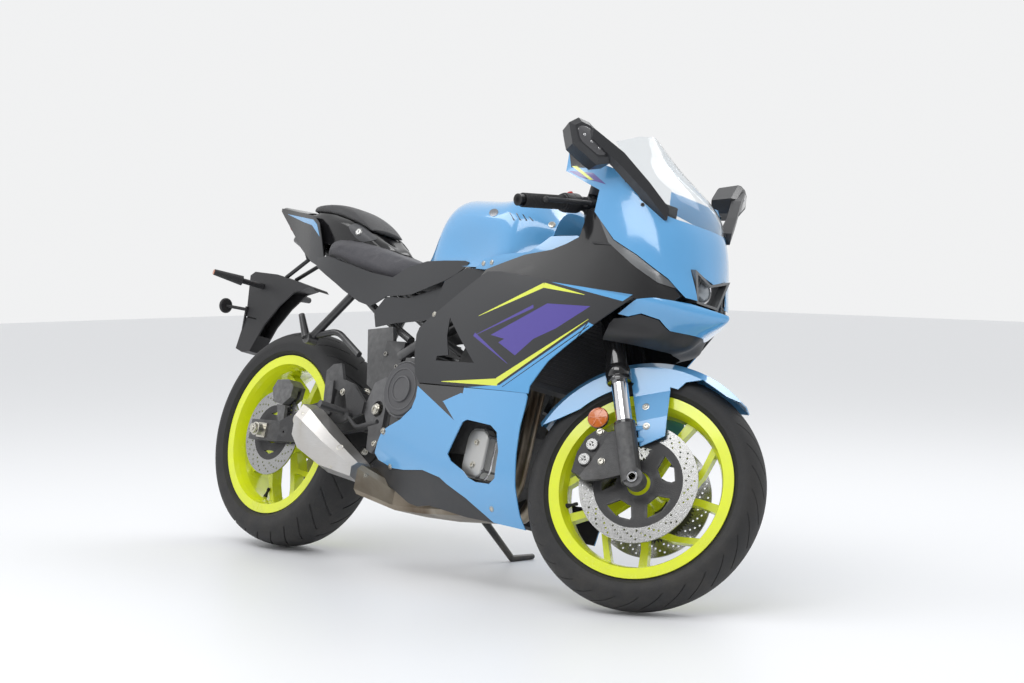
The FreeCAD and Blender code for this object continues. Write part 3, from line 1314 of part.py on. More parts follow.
def side_panels():
    """Painted side panels of the fairing, with the triangular vent behind."""
    skin = level_skin(side_levels(), panelWall)
    outline = [(723, waistHeight + 3.4), (704, 505), (686, 562), (674, 612), (678, 630), (704, 654), (792, 716),
               (891, 780), (905, 787), (964, 787), (1151, 767), (1332, 748), (1402, 742), (1350, 697),
               (1290, 645), (1200, 565), (1150, 500), (1146, waistHeight + 0.3)]
    panel = skin.common(side_plate(outline, -300, 0))
    vent = side_plate([(800, 660), (939, 545), (780, 545), (781, 557), (828, 561), (806, 612)], -300, 0)
    panel = panel.cut(vent)
    post = boss(Vector(812, -190, 700), Vector(812, -90, 700), 7, "main_frame")
    right = biggest(fuse([panel, post]))
    feature("side_panel_right", right, "chassis")
    feature("side_panel_left", other_side(right), "chassis")


def cowl_levels():
    return [
        (150, [(540, -112), (640, -126), (740, -132), (820, -135), (940, -137), (1040, -135), (1110, -130),
               (1180, -118)]),
        (255, [(540, -158), (640, -164), (740, -170), (820, -175), (940, -179), (1040, -178), (1110, -172),
               (1180, -158)]),
        (360, [(540, -186), (640, -190), (740, -192), (820, -194), (940, -197), (1040, -198), (1110, -192),
               (1180, -178)]),
        (waistHeight, [(x, y) for x, y in waist() if x < 1200]),
    ]


def lower_cowls():
    """Lower side cowls with the large window over the pump cover."""
    skin = level_skin(cowl_levels(), panelWall)
    outline = [(721, waistHeight + 2.8), (724, 445), (714, 415), (673, 382), (628, 362), (600, 347),
               (582, 318), (569, 289), (586, 272), (613, 265), (640, 256), (695, 255), (778, 261),
               (851, 248), (880, 234), (953, 206), (1008, 178), (1047, 157), (1150, 152), (1138, 185),
               (1128, 253), (1127, 331), (1130, 400), (1145, waistHeight - 0.3)]
    window = [(879, 309), (924, 394), (940, 401), (1034, 393), (1058, 378), (1070, 331), (1061, 264),
              (1042, 249), (992, 249), (962, 258), (944, 272), (894, 293)]
    panel = skin.common(side_plate(outline, -300, 0)).cut(side_plate(window, -300, 0))
    post = boss(Vector(880, -198, 440), Vector(880, -120, 440), 7, "engine_case")
    right = biggest(fuse([panel, post]))
    feature("lower_cowl_right", right, "chassis")
    feature("lower_cowl_left", other_side(right), "chassis")


def chin_levels():
    halves = [
        (636, [(1296, -130), (1320, -108), (1336, -90), (1353, -66), (1366, -42), (1374, -18), (1378, 0)]),
        (690, [(1330, -156), (1385, -128), (1412, -108), (1440, -82), (1468, -50), (1492, -20), (1500, 0)]),
        (712, [(1330, -166), (1390, -140), (1424, -118), (1460, -90), (1500, -54), (1530, -22), (1544, 0)]),
        (728, [(1330, -174), (1395, -149), (1432, -127), (1472, -96), (1514, -57), (1548, -24), (1566, 0)]),
        (758, [(1330, -178), (1398, -154), (1434, -128), (1466, -94), (1496, -55), (1518, -22), (1526, 0)]),
    ]
    return [(height, whole_curve(half)) for height, half in halves]


def chin():
    """Beak under the headlamp duct, sweeping back as the fairing's lower lip."""
    outline = [(1352, 702), (1404, 741), (1440, 751), (1500, 753), (1540, 746), (1590, 736), (1590, 684),
               (1448, 684), (1440, 704), (1405, 711), (1374, 700)]
    whole = level_skin(chin_levels(), panelWall).common(side_plate(outline, -300, 300))
    feature("chin_lip", whole, "chassis")


def belly_pan():
    """Dark skirts that carry the lower cowls' line down beside the exhaust chamber."""
    skin = level_skin(cowl_levels(), panelWall, -panelWall - 0.5)
    outline = [(549, 254), (560, 263), (586, 280), (640, 264), (695, 263), (778, 269), (851, 256),
               (884, 240), (957, 212), (1014, 184), (1080, 162), (1080, 156), (942, 160), (793, 175),
               (741, 168), (706, 173), (626, 209)]
    skirt = skin.common(side_plate(outline, -300, 0)).cut(nodeObject["exhaust_box"].Shape)
    skirt = biggest(skirt)
    front = end_plate([(-132.5, 158), (132.5, 158), (132.5, 166), (-132.5, 166)], 1060, 1066)
    left = other_side(skirt).cut(block(500, 704, 0, 300, 120, 300))
    feature("belly_pan", fuse([skirt, left, front]), "chassis")


def windscreen():
    """Clear double-curved screen above the nose."""
    halves = [
        (950, [(1404, -118), (1418, -98), (1431, -77), (1444, -38), (1448, 0)]),
        (1015, [(1364, -120), (1385, -98), (1401, -70), (1412, -36), (1416, 0)]),
        (1082, [(1272, -112), (1297, -92), (1318, -64), (1332, -32), (1336, 0)]),
        (1140, [(1190, -97), (1220, -80), (1243, -54), (1258, -28), (1262, 0)]),
        (1196, [(1112, -80), (1144, -66), (1174, -46), (1196, -24), (1206, 0)]),
    ]
    whole = level_skin([(height, whole_curve(half)) for height, half in halves], size("screenWall"))
    frame = end_plate([(-86, 1161), (-40, 1185), (0, 1194), (40, 1185), (86, 1161), (150, 1100), (150, 940),
                       (-150, 940), (-150, 1100)], 1000, 1500)
    nose = around_nose(panelWall + 2 * size("hubClearance"), size("hubClearance"))
    feature("windscreen", biggest(whole.common(frame).cut(nose)), "chassis")


def inner_cowl():
    """Dark trays behind the nose and inside the beak."""
    inset = panelWall + size("hubClearance")
    tray = level_core(nose_levels(), inset).common(block(1262, 1600, -300, 300, 866, 871))
    for name in ("upper_panels", "headlamps"):
        tray = tray.cut(nodeObject[name].Shape)
    tray = biggest(tray)
    shelf = level_core(chin_levels(), inset).common(block(1431, 1600, -300, 300, 738, 743))
    outline = [(1300, 640), (1340, 690), (1370, 696), (1403, 708), (1437, 702), (1445.5, 683.5),
               (1590, 683.5), (1590, 640)]
    duct = level_skin(chin_levels(), panelWall).common(side_plate(outline, -300, 300))
    feature("inner_cowl", Part.makeCompound([tray, shelf, duct]), "chassis")


def instrument():
    """Instrument panel on its bracket from the tray."""
    case = side_plate([(1190, 960), (1240, 1030), (1262, 1028), (1262, 985), (1225, 945)], -78, 78)
    bracket = side_plate([(1232, 956), (1250, 970), (1284, 871.3), (1264, 871.3)], -26, 26)
    feature("instrument", fuse([case, bracket]), "chassis")


def flat_ring(centre, axis_a, axis_b, points):
    """Planar outline drawn in the plane of two axes about a centre."""
    return polygon([centre + axis_a * a + axis_b * b for a, b in points])


def mirrors():
    """Blade-armed mirrors with the turn signal in the back of the housing."""
    outward = Vector(-66, -117, 53).normalize()
    facing = Vector(1, 0, 0) - outward * outward.x
    facing.normalize()
    upward = facing.cross(outward)
    if upward.z < 0:
        upward = upward * -1
    front = Vector(1275, -276, 1100)
    face = [(-66, -20), (-40, -44), (38, -34), (72, 8), (58, 34), (30, 40), (-60, 18)]
    rear = [(0.94 * a, 0.92 * b) for a, b in face]
    back = [(0.8 * a, 0.7 * b) for a, b in face]
    head = Part.makeLoft([flat_ring(front + facing * 12, outward, upward, back),
                          flat_ring(front, outward, upward, face),
                          flat_ring(front - facing * 52, outward, upward, rear)], True, True)
    arm = Part.makeLoft([
        polygon([centre + Vector(-a / 2, 0, -b / 2), centre + Vector(a / 2, 0, -b / 2),
                 centre + Vector(a / 2, 0, b / 2), centre + Vector(-a / 2, 0, b / 2)])
        for centre, a, b in ((Vector(1400, -118, 960), 44, 30), (Vector(1370, -164, 1012), 34, 30),
                             (Vector(1322, -222, 1070), 34, 34), (Vector(1274, -288, 1118), 26, 26))
    ], True, True)
    nose = level_skin(nose_levels(), 60, size("hubClearance"))
    whole = biggest(fuse([head, arm]).cut(nose).cut(nodeObject["windscreen"].Shape))
    feature("mirror_right", whole, "chassis")
    feature("mirror_left", other_side(whole), "chassis")


def foot_controls():
    """Cast hangers with the rider's pegs, heel plates and pedals."""
    plate = [(296, 520), (330, 524), (352, 480), (400, 470), (462, 424), (460, 392), (380, 360),
             (330, 352), (300, 372), (282, 420), (270, 500)]
    for name, sign in (("foot_hanger_right", -1), ("foot_hanger_left", 1)):
        hanger = side_plate(plate, sign * 144.3, sign * 154)
        hole = side_plate([(320, 400), (392, 400), (372, 440), (322, 452)], sign * 100, sign * 180)
        hanger = hanger.cut(hole)
        peg = rod(Vector(392, sign * 154, 388), Vector(376, sign * 236, 396), 11)
        heel = side_plate([(296, 470), (318, 474), (330, 380), (306, 376)], sign * 154, sign * 160)
        pedal = pipe([Vector(412, sign * 160, 380), Vector(470, sign * 172, 350),
                      Vector(560, sign * 176, 372)], 6, 40)
        lug = rod(Vector(412, sign * 154, 380), Vector(412, sign * 167, 380), 12)
        whole = fuse([hanger, peg, heel, lug, pedal])
        feature(name, whole, "chassis")


def passenger_hangers():
    """Tubular hangers with the passenger's pegs folded up."""
    radius = size("hangerRadius")
    tube = rod(Vector(262, -98, 745), Vector(142, -134, 590), radius)
    knuckle = rod(Vector(142, -118, 588), Vector(142, -152, 588), 15)
    peg = cone(Vector(140, -150, 590), Vector(100, -152, 654), 12, 9)
    brace = pipe([Vector(150, -128, 600), Vector(230, -112, 620), Vector(330, -100, 560)],
                 radius - 3, 60)
    right = fuse([tube, knuckle, peg, brace]).cut(tail_tubes(size("hubClearance")))
    right = biggest(right)
    feature("passenger_hangers", both_sides(right), "chassis")


def side_stand():
    """Side stand leg with its forward foot, down on the ground."""
    radius = size("standRadius")
    toe = Vector(664, 381, 107)
    leg = cone(standTop, standHeel, radius, radius - 3)
    boss = rod(standTop - standAxis * standBoss, standTop + standAxis * standBoss, 18)
    foot = cone(standHeel, toe, radius - 3, radius - 4)
    ends = [Part.makeSphere(radius - 3, standHeel), Part.makeSphere(radius - 4, toe)]
    feature("side_stand", fuse([leg, boss, foot] + ends), "side_stand")


main_frame()
pivot_axle()
swingarm()
rear_axle()
engine()
radiator()
exhaust()
shock()
rear_caliper()
chain()
fuel_tank()
tank_covers()
tail_frame()
rider_seat()
rear_hump()
tail_cowl()
seat_panels()
plate_bracket()
rear_lights()
nose_cowl()
side_panels()
upper_panels()
headlamps()
lower_cowls()
chin()
belly_pan()
windscreen()
inner_cowl()
instrument()
mirrors()
foot_controls()
passenger_hangers()
side_stand()


# ---- parking pose, checks and files ------------------------------------------

doc.recompute()

for name, obj in nodeObject.items():
    obj.Placement = bodyPose[nodeBody[name]].multiply(nodePlace[name])
doc.recompute()


def whole_box():
    box = FreeCAD.BoundBox()
    for obj in nodeObject.values():
        box.add(obj.Shape.optimalBoundingBox(False, False))
    return box


box = whole_box()
origin = Vector((box.XMin + box.XMax) / 2, (box.YMin + box.YMax) / 2, box.ZMin)
shift = Placement(origin * -1, Rotation())
for name, obj in nodeObject.items():
    obj.Placement = shift.multiply(obj.Placement)
doc.recompute()

for obj in doc.Objects:
    if "Invalid" in obj.State or "Error" in obj.State:
        raise RuntimeError("%s failed: %s" % (obj.Name, obj.State))
for name, obj in nodeObject.items():
    if obj.Shape.isNull() or not obj.Shape.isValid() or not obj.Shape.Solids:
        raise RuntimeError("%s has no valid solid" % name)

os.makedirs("parts", exist_ok=True)
for name, obj in nodeObject.items():
    obj.Shape.exportStep(os.path.join("parts", name + ".step"))
print("nodes", len(nodeObject), "box", box)
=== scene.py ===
import bpy
import bmesh
import json
import math
from mathutils import Matrix, Vector
from mathutils.bvhtree import BVHTree


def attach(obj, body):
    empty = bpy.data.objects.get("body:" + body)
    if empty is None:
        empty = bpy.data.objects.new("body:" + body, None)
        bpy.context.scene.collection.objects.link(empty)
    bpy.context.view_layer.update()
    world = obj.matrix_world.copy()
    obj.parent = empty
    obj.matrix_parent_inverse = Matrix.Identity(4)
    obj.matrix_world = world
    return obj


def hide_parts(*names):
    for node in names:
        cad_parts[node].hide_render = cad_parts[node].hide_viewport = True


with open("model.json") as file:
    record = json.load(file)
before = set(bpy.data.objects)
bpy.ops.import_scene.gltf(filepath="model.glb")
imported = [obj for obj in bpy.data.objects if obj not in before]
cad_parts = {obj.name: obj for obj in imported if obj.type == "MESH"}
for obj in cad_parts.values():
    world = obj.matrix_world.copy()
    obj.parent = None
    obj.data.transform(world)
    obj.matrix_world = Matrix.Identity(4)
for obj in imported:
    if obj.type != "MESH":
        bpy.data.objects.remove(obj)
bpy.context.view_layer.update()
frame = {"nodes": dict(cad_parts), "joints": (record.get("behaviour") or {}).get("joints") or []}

# Sport motorcycle on its side stand: finishes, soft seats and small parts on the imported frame.

# the upright motorcycle in mm, and how it stands in the frame
pose = {
    "lean": 14.85,
    "pitch": 0.299,
    "axleHeight": 315,
    "wheelBase": 1395,
    "frontRadius": 300,
    "rake": 23.67,
    "axleOffset": 38,
    "steerRest": 26.87,
    "rearAxleWorld": (0.001589, 0.080730, 0.307735),
}
jointPlaces = {joint["name"]: Vector(joint["pos_m"]) for joint in frame["joints"]}
turn = (Matrix.Rotation(math.radians(pose["pitch"]), 4, "Y")
        @ Matrix.Rotation(math.radians(-pose["lean"]), 4, "X")).to_3x3()
rearAxle = jointPlaces["rear_wheel_spin"]
rearHub = Vector((0, 0, pose["axleHeight"]))
frontHub = Vector((pose["wheelBase"], 0, pose["frontRadius"]))
rake = math.radians(pose["rake"])
steerUp = Vector((-math.sin(rake), 0, math.cos(rake)))
steerFore = Vector((math.cos(rake), 0, math.sin(rake)))
steerBase = frontHub - steerFore * pose["axleOffset"]
steerTurn = Matrix.Rotation(math.radians(pose["steerRest"]), 3, steerUp)
acrossY = Vector((0, 1, 0))
mm = 0.001


def fromBike(point):
    # place in the frame, in metres, of a point in mm on the upright motorcycle
    return turn @ ((Vector(point) - rearHub) * mm) + rearAxle


def fromSteer(point):
    # the same for what turns with the bars, given with the bars straight
    return fromBike(steerTurn @ (Vector(point) - steerBase) + steerBase)


def toBike(place):
    return turn.transposed() @ (Vector(place) - rearAxle) / mm + rearHub


def onFork(up, fore, side=0):
    return steerBase + steerUp * up + steerFore * fore + acrossY * side


frameOf = {"chassis": fromBike, "rear_wheel": fromBike, "side_stand": fromBike,
           "steering": fromSteer, "front_wheel": fromSteer}


# node helpers

def feed(tree, socket, value):
    # another node's output is linked, anything else is set
    if hasattr(value, "links"):
        tree.links.new(value, socket)
    elif socket.type == "RGBA":
        socket.default_value = (*value[:3], 1)
    else:
        socket.default_value = value


def addNode(tree, kind, settings=None, **values):
    node = tree.nodes.new("ShaderNode" + kind)
    for name, value in (settings or {}).items():
        setattr(node, name, value)
    for name, value in values.items():
        feed(tree, node.inputs[name.replace("_", " ")], value)
    return node


def calc(tree, operation, *values, clamp=False):
    node = addNode(tree, "Math", {"operation": operation, "use_clamp": clamp})
    for socket, value in zip(node.inputs, values):
        feed(tree, socket, value)
    return node.outputs[0]


def reckon(tree, operation, *values, output="Vector"):
    node = addNode(tree, "VectorMath", {"operation": operation})
    for socket, value in zip(node.inputs, values):
        feed(tree, socket, value)
    return node.outputs[output]


def mixColor(tree, share, first, second):
    node = addNode(tree, "Mix", {"data_type": "RGBA"})
    for number, value in ((0, share), (6, first), (7, second)):  # the colour sockets of a Mix node
        feed(tree, node.inputs[number], value)
    return node.outputs[2]


def mixValue(tree, share, first, second):
    return addNode(tree, "Mix", {"data_type": "FLOAT"}, Factor=share, A=first, B=second).outputs[0]


def newGroup(name, inputs, outputs):
    group = bpy.data.node_groups.new(name, "ShaderNodeTree")
    for label, kind, value in inputs:
        socket = group.interface.new_socket(name=label, in_out="INPUT", socket_type="NodeSocket" + kind)
        socket.default_value = value
    for label, kind in outputs:
        group.interface.new_socket(name=label, in_out="OUTPUT", socket_type="NodeSocket" + kind)
    start = group.nodes.new("NodeGroupInput")
    end = group.nodes.new("NodeGroupOutput")
    return group, start.outputs, end.inputs


def useGroup(tree, group, **values):
    node = addNode(tree, "Group", {"node_tree": group}, **values)
    return node.outputs


# camera, light and floor

view = {
    "place": (4.98310, -3.64397, 0.92318),
    "yaw": 137.458,
    "pitch": -3.068,
    "roll": 0.046,
    "lens": 75.01,
    "film": 36,
    "reach": 60,
}


def addCamera():
    shift = rearAxle - Vector(pose["rearAxleWorld"])
    yaw = math.radians(view["yaw"])
    tilt = math.radians(view["pitch"])
    roll = math.radians(view["roll"])
    ahead = Vector((math.cos(tilt) * math.cos(yaw), math.cos(tilt) * math.sin(yaw), math.sin(tilt)))
    right = ahead.cross(Vector((0, 0, 1))).normalized()
    up = right.cross(ahead)
    right, up = (math.cos(roll) * right + math.sin(roll) * up,
                 math.cos(roll) * up - math.sin(roll) * right)
    data = bpy.data.cameras.new("camera")
    data.lens = view["lens"]
    data.sensor_width = view["film"]
    data.clip_end = view["reach"]
    camera = bpy.data.objects.new("camera", data)
    place = Matrix((right, up, -ahead)).transposed().to_4x4()
    place.translation = Vector(view["place"]) + shift
    camera.matrix_world = place
    bpy.context.collection.objects.link(camera)
    bpy.context.scene.camera = camera


light = {
    "sky": (0.955, 0.96, 0.965),
    "skyPower": 0.92,
    "dimWay": (0.80, -0.58, 0.12),
    "dimShare": 0.70,
    "dimFrom": 0.05,
    "dimTo": 0.85,
    "panelShape": 0.45,
    "aim": (0, 0, 0.5),
    "floor": (0.80, 0.81, 0.83),
    "floorReach": 14,
    "floorRough": 0.42,
    "floorShine": 0.3,
    "panels": [((1.5, -2.6, 3.6), 3.0, 52), ((-1.8, -2.4, 3.8), 3.0, 42), ((0.2, 2.6, 3.6), 3.0, 40)],
}


def addLight():
    world = bpy.data.worlds.new("studio")
    world.use_nodes = True
    tree = world.node_tree
    sky = tree.nodes["Background"]
    sky.inputs["Color"].default_value = (*light["sky"], 1)
    # what glossy skins mirror is dimmer on one side of the room, so that dark panels stay dark
    way = addNode(tree, "TexCoord").outputs["Generated"]
    facing = reckon(tree, "DOT_PRODUCT", way, light["dimWay"], output="Value")
    fade = addNode(tree, "MapRange", {"interpolation_type": "SMOOTHSTEP"}, Value=facing,
                   From_Min=light["dimFrom"], From_Max=light["dimTo"])
    share = calc(tree, "MULTIPLY", fade.outputs[0], addNode(tree, "LightPath").outputs["Is Glossy Ray"])
    power = calc(tree, "MULTIPLY_ADD", share, -light["skyPower"] * light["dimShare"], light["skyPower"])
    tree.links.new(power, sky.inputs["Strength"])
    bpy.context.scene.world = world
    for number, (place, reach, power) in enumerate(light["panels"]):
        data = bpy.data.lights.new("panel%d" % number, "AREA")
        data.shape = "RECTANGLE"
        data.size = reach
        data.size_y = reach * light["panelShape"]
        data.energy = power
        lamp = bpy.data.objects.new("panel%d" % number, data)
        lamp.location = place
        lamp.rotation_euler = (Vector(light["aim"]) - Vector(place)).to_track_quat("-Z", "Y").to_euler()
        bpy.context.collection.objects.link(lamp)


def addFloor():
    mesh = bpy.data.meshes.new("floor")
    reach = light["floorReach"]
    mesh.from_pydata([(-reach, -reach, 0), (reach, -reach, 0), (reach, reach, 0), (-reach, reach, 0)],
                     [], [(0, 1, 2, 3)])
    floor = bpy.data.objects.new("floor", mesh)
    bpy.context.collection.objects.link(floor)
    material = bpy.data.materials.new("floorPaint")
    material.use_nodes = True
    shader = material.node_tree.nodes["Principled BSDF"]
    shader.inputs["Base Color"].default_value = (*light["floor"], 1)
    shader.inputs["Roughness"].default_value = light["floorRough"]
    shader.inputs["Specular IOR Level"].default_value = light["floorShine"]
    mesh.materials.append(material)


addCamera()
addLight()
addFloor()
print("stage: camera, light and floor")


# effects that several finishes share

def grainGroup():
    group, given, out = newGroup("mouldedGrain", [("Scale", "Float", 300.0), ("Unevenness", "Float", 0.3)],
                                 [("Height", "Float"), ("Tone", "Float")])
    place = addNode(group, "TexCoord").outputs["Object"]
    cells = addNode(group, "TexVoronoi", {"feature": "SMOOTH_F1"}, Vector=place, Scale=given["Scale"])
    coarse = addNode(group, "TexNoise", Vector=place, Scale=9.0, Detail=5.0)
    fine = addNode(group, "TexNoise", Vector=place, Scale=given["Scale"], Detail=3.0)
    height = calc(group, "MULTIPLY_ADD", cells.outputs["Distance"], 0.6, fine.outputs["Fac"])
    group.links.new(height, out["Height"])
    spread = calc(group, "SUBTRACT", coarse.outputs["Fac"], 0.5)
    group.links.new(calc(group, "MULTIPLY_ADD", spread, given["Unevenness"], 0.5), out["Tone"])
    return group


def dustGroup():
    group, given, out = newGroup(
        "roadDust", [("Color", "Color", (0, 0, 0, 1)), ("Dust", "Color", (0.22, 0.19, 0.15, 1)),
                     ("Amount", "Float", 0.3), ("Reach", "Float", 0.5)],
        [("Color", "Color"), ("Mask", "Float")])
    place = addNode(group, "TexCoord").outputs["Object"]
    height = addNode(group, "SeparateXYZ", Vector=place).outputs["Z"]
    low = addNode(group, "MapRange", Value=height, From_Min=given["Reach"], From_Max=0.0)
    patches = addNode(group, "TexNoise", Vector=place, Scale=14.0, Detail=8.0, Roughness=0.7)
    spots = addNode(group, "MapRange", Value=patches.outputs["Fac"], From_Min=0.42, From_Max=0.72)
    mask = calc(group, "MULTIPLY", low.outputs[0], spots.outputs[0])
    mask = calc(group, "MULTIPLY", mask, given["Amount"], clamp=True)
    group.links.new(mask, out["Mask"])
    group.links.new(mixColor(group, mask, given["Color"], given["Dust"]), out["Color"])
    return group


def brushGroup():
    group, given, out = newGroup(
        "brushedMetal", [("Scale", "Float", 60.0), ("Stretch", "Vector", (1, 12, 12))],
        [("Height", "Float"), ("Tone", "Float")])
    place = addNode(group, "TexCoord").outputs["Object"]
    drawn = reckon(group, "MULTIPLY", place, given["Stretch"])
    streaks = addNode(group, "TexNoise", Vector=drawn, Scale=given["Scale"], Detail=6.0)
    broad = addNode(group, "TexNoise", Vector=place, Scale=7.0, Detail=4.0)
    group.links.new(streaks.outputs["Fac"], out["Height"])
    tone = calc(group, "MULTIPLY", streaks.outputs["Fac"], 0.5)
    group.links.new(calc(group, "MULTIPLY_ADD", broad.outputs["Fac"], 0.5, tone), out["Tone"])
    return group


def stainGroup():
    group, given, out = newGroup(
        "heatStain", [("Color", "Color", (0.5, 0.48, 0.45, 1)), ("Stain", "Color", (0.2, 0.13, 0.07, 1)),
                      ("Scale", "Float", 8.0), ("Amount", "Float", 0.6)], [("Color", "Color")])
    place = addNode(group, "TexCoord").outputs["Object"]
    cloud = addNode(group, "TexNoise", Vector=place, Scale=given["Scale"], Detail=8.0, Distortion=0.6)
    share = addNode(group, "MapRange", Value=cloud.outputs["Fac"], From_Min=0.38, From_Max=0.66)
    share = calc(group, "MULTIPLY", share.outputs[0], given["Amount"])
    group.links.new(mixColor(group, share, given["Color"], given["Stain"]), out["Color"])
    return group


def wearGroup():
    group, given, out = newGroup(
        "edgeWear", [("Color", "Color", (0, 0, 0, 1)), ("Worn", "Color", (0.3, 0.3, 0.3, 1)),
                     ("Amount", "Float", 0.4)], [("Color", "Color"), ("Mask", "Float")])
    place = addNode(group, "TexCoord").outputs["Object"]
    edge = addNode(group, "NewGeometry").outputs["Pointiness"]
    share = addNode(group, "MapRange", Value=edge, From_Min=0.52, From_Max=0.62)
    chips = addNode(group, "TexNoise", Vector=place, Scale=70.0, Detail=6.0)
    mask = calc(group, "MULTIPLY", share.outputs[0], chips.outputs["Fac"])
    mask = calc(group, "MULTIPLY", mask, given["Amount"], clamp=True)
    group.links.new(mask, out["Mask"])
    group.links.new(mixColor(group, mask, given["Color"], given["Worn"]), out["Color"])
    return group


def leatherGroup():
    group, given, out = newGroup("leatherGrain", [("Scale", "Float", 420.0)],
                                 [("Height", "Float"), ("Tone", "Float")])
    place = addNode(group, "TexCoord").outputs["Object"]
    bent = addNode(group, "TexNoise", Vector=place, Scale=90.0, Detail=3.0)
    moved = reckon(group, "MULTIPLY_ADD", bent.outputs["Color"], (0.004, 0.004, 0.004), place)
    cells = addNode(group, "TexVoronoi", {"feature": "DISTANCE_TO_EDGE"}, Vector=moved, Scale=given["Scale"])
    creases = addNode(group, "MapRange", Value=cells.outputs["Distance"], From_Max=0.25)
    soft = addNode(group, "TexNoise", Vector=place, Scale=6.0, Detail=5.0)
    group.links.new(creases.outputs[0], out["Height"])
    group.links.new(soft.outputs["Fac"], out["Tone"])
    return group


# stripes and coloured areas, as (x, z) in mm on an upright plane beside the motorcycle
stripes = {
    "plane": 200,
    "eye": (4978, 3765, -20),
    "bands": {
        "yellow": [((906, 669), (1125, 756), 1, 13), ((1125, 756), (1274, 736), 13, 1),
                   ((813, 492), (1026, 503), 1, 19), ((1022, 506), (1304, 676), 17, 1)],
        "purple": [((905, 618), (1102, 701), 1, 9), ((903, 621), (1048, 552), 10, 1)],
        "black": [((1046, 492), (1310, 660), 2, 3)],
    },
    "areas": {
        "purple": [[(966, 622), (1088, 604), (1302, 708), (1150, 710)],
                   [(1088, 604), (1196, 648), (1302, 708)],
                   [(1000, 604), (1070, 574), (1150, 640), (1060, 636)]],
        "blue": [[(1147, 765), (1436, 741), (1407, 724)],
                 [(905, 462), (1160, 462), (1160, 500), (1040, 497), (905, 482)],
                 [(1036, 497), (1150, 440), (1230, 560), (1306, 668)],
                 [(1150, 440), (1400, 640), (1306, 668)]],
        "black": [[(700, 486), (722, 484), (838, 439), (893, 395)], [(722, 484), (903, 469), (826, 438)],
                  [(722, 484), (905, 486), (905, 466)]],
    },
}
# painted in this order, the later ones over the earlier ones
stripeColors = {
    "inside": (0.016, 0.016, 0.018),
    "purple": (0.082, 0.062, 0.29),
    "blue": (0.105, 0.335, 0.625),
    "black": (0.014, 0.014, 0.016),
    "yellow": (0.66, 0.72, 0.09),
}
stripeRough = 0.2


def stripeGroup():
    group, _, out = newGroup("panelStripes", [], [(name, "Float") for name in stripeColors])
    place = addNode(group, "TexCoord").outputs["Object"]
    offset = reckon(group, "SUBTRACT", place, tuple(rearAxle))
    across = [reckon(group, "DOT_PRODUCT", offset, tuple(turn.col[index] / mm), output="Value")
              for index in range(3)]
    eyeX, eyeY, eyeZ = stripes["eye"]
    side = calc(group, "SUBTRACT", eyeY, calc(group, "ABSOLUTE", across[1]))
    share = calc(group, "DIVIDE", eyeY - stripes["plane"], side)
    ahead = calc(group, "MULTIPLY_ADD", calc(group, "SUBTRACT", across[0], eyeX), share, eyeX)
    rise = calc(group, "ADD", across[2], rearHub.z - eyeZ)
    up = calc(group, "MULTIPLY_ADD", rise, share, eyeZ)
    flat = addNode(group, "CombineXYZ", X=ahead, Y=up).outputs[0]
    masks = {name: [] for name in stripeColors if name != "inside"}
    for name, bands in stripes["bands"].items():
        for start, end, thin, thick in bands:
            first = Vector((*start, 0))
            span = Vector((*end, 0)) - first
            reach = reckon(group, "SUBTRACT", flat, tuple(first))
            along = reckon(group, "DOT_PRODUCT", reach, tuple(span / span.length_squared), output="Value")
            inside = calc(group, "ADD", along, 0.0, clamp=True)
            normal = Vector((-span.y, span.x, 0)).normalized()
            away = calc(group, "ABSOLUTE", reckon(group, "DOT_PRODUCT", reach, tuple(normal), output="Value"))
            limit = calc(group, "MULTIPLY_ADD", inside, (thick - thin) / 2, thin / 2)
            near = calc(group, "GREATER_THAN", limit, away)
            within = calc(group, "COMPARE", along, 0.5, 0.5)
            masks[name].append(calc(group, "MULTIPLY", near, within))
    for name, areas in stripes["areas"].items():
        for corners in areas:
            points = [Vector((*corner, 0)) for corner in corners]
            area = sum(a.x * b.y - b.x * a.y for a, b in zip(points, points[1:] + points[:1]))
            if area < 0:
                points.reverse()
            least = None
            for a, b in zip(points, points[1:] + points[:1]):
                normal = Vector((a.y - b.y, b.x - a.x, 0)).normalized()
                reach = reckon(group, "DOT_PRODUCT", flat, tuple(normal), output="Value")
                depth = calc(group, "SUBTRACT", reach, normal.dot(a))
                least = depth if least is None else calc(group, "MINIMUM", least, depth)
            masks[name].append(calc(group, "GREATER_THAN", least, 0.0))
    # the skin that faces away from the middle of the motorcycle carries the stripes
    normal = addNode(group, "NewGeometry").outputs["Normal"]
    facing = reckon(group, "DOT_PRODUCT", normal, tuple(turn.col[1]), output="Value")
    outward = calc(group, "MULTIPLY", facing, calc(group, "SIGN", across[1]))
    outside = calc(group, "GREATER_THAN", outward, -0.05)
    group.links.new(calc(group, "SUBTRACT", 1.0, outside), out["inside"])
    for name, parts in masks.items():
        whole = parts[0]
        for part in parts[1:]:
            whole = calc(group, "MAXIMUM", whole, part)
        group.links.new(calc(group, "MULTIPLY", whole, outside), out[name])
    return group


groups = {"grain": grainGroup(), "dust": dustGroup(), "brush": brushGroup(), "stain": stainGroup(),
          "wear": wearGroup(), "leather": leatherGroup(), "stripes": stripeGroup()}
print("stage: shader groups")


# finishes: colour, roughness and what the surface is made of

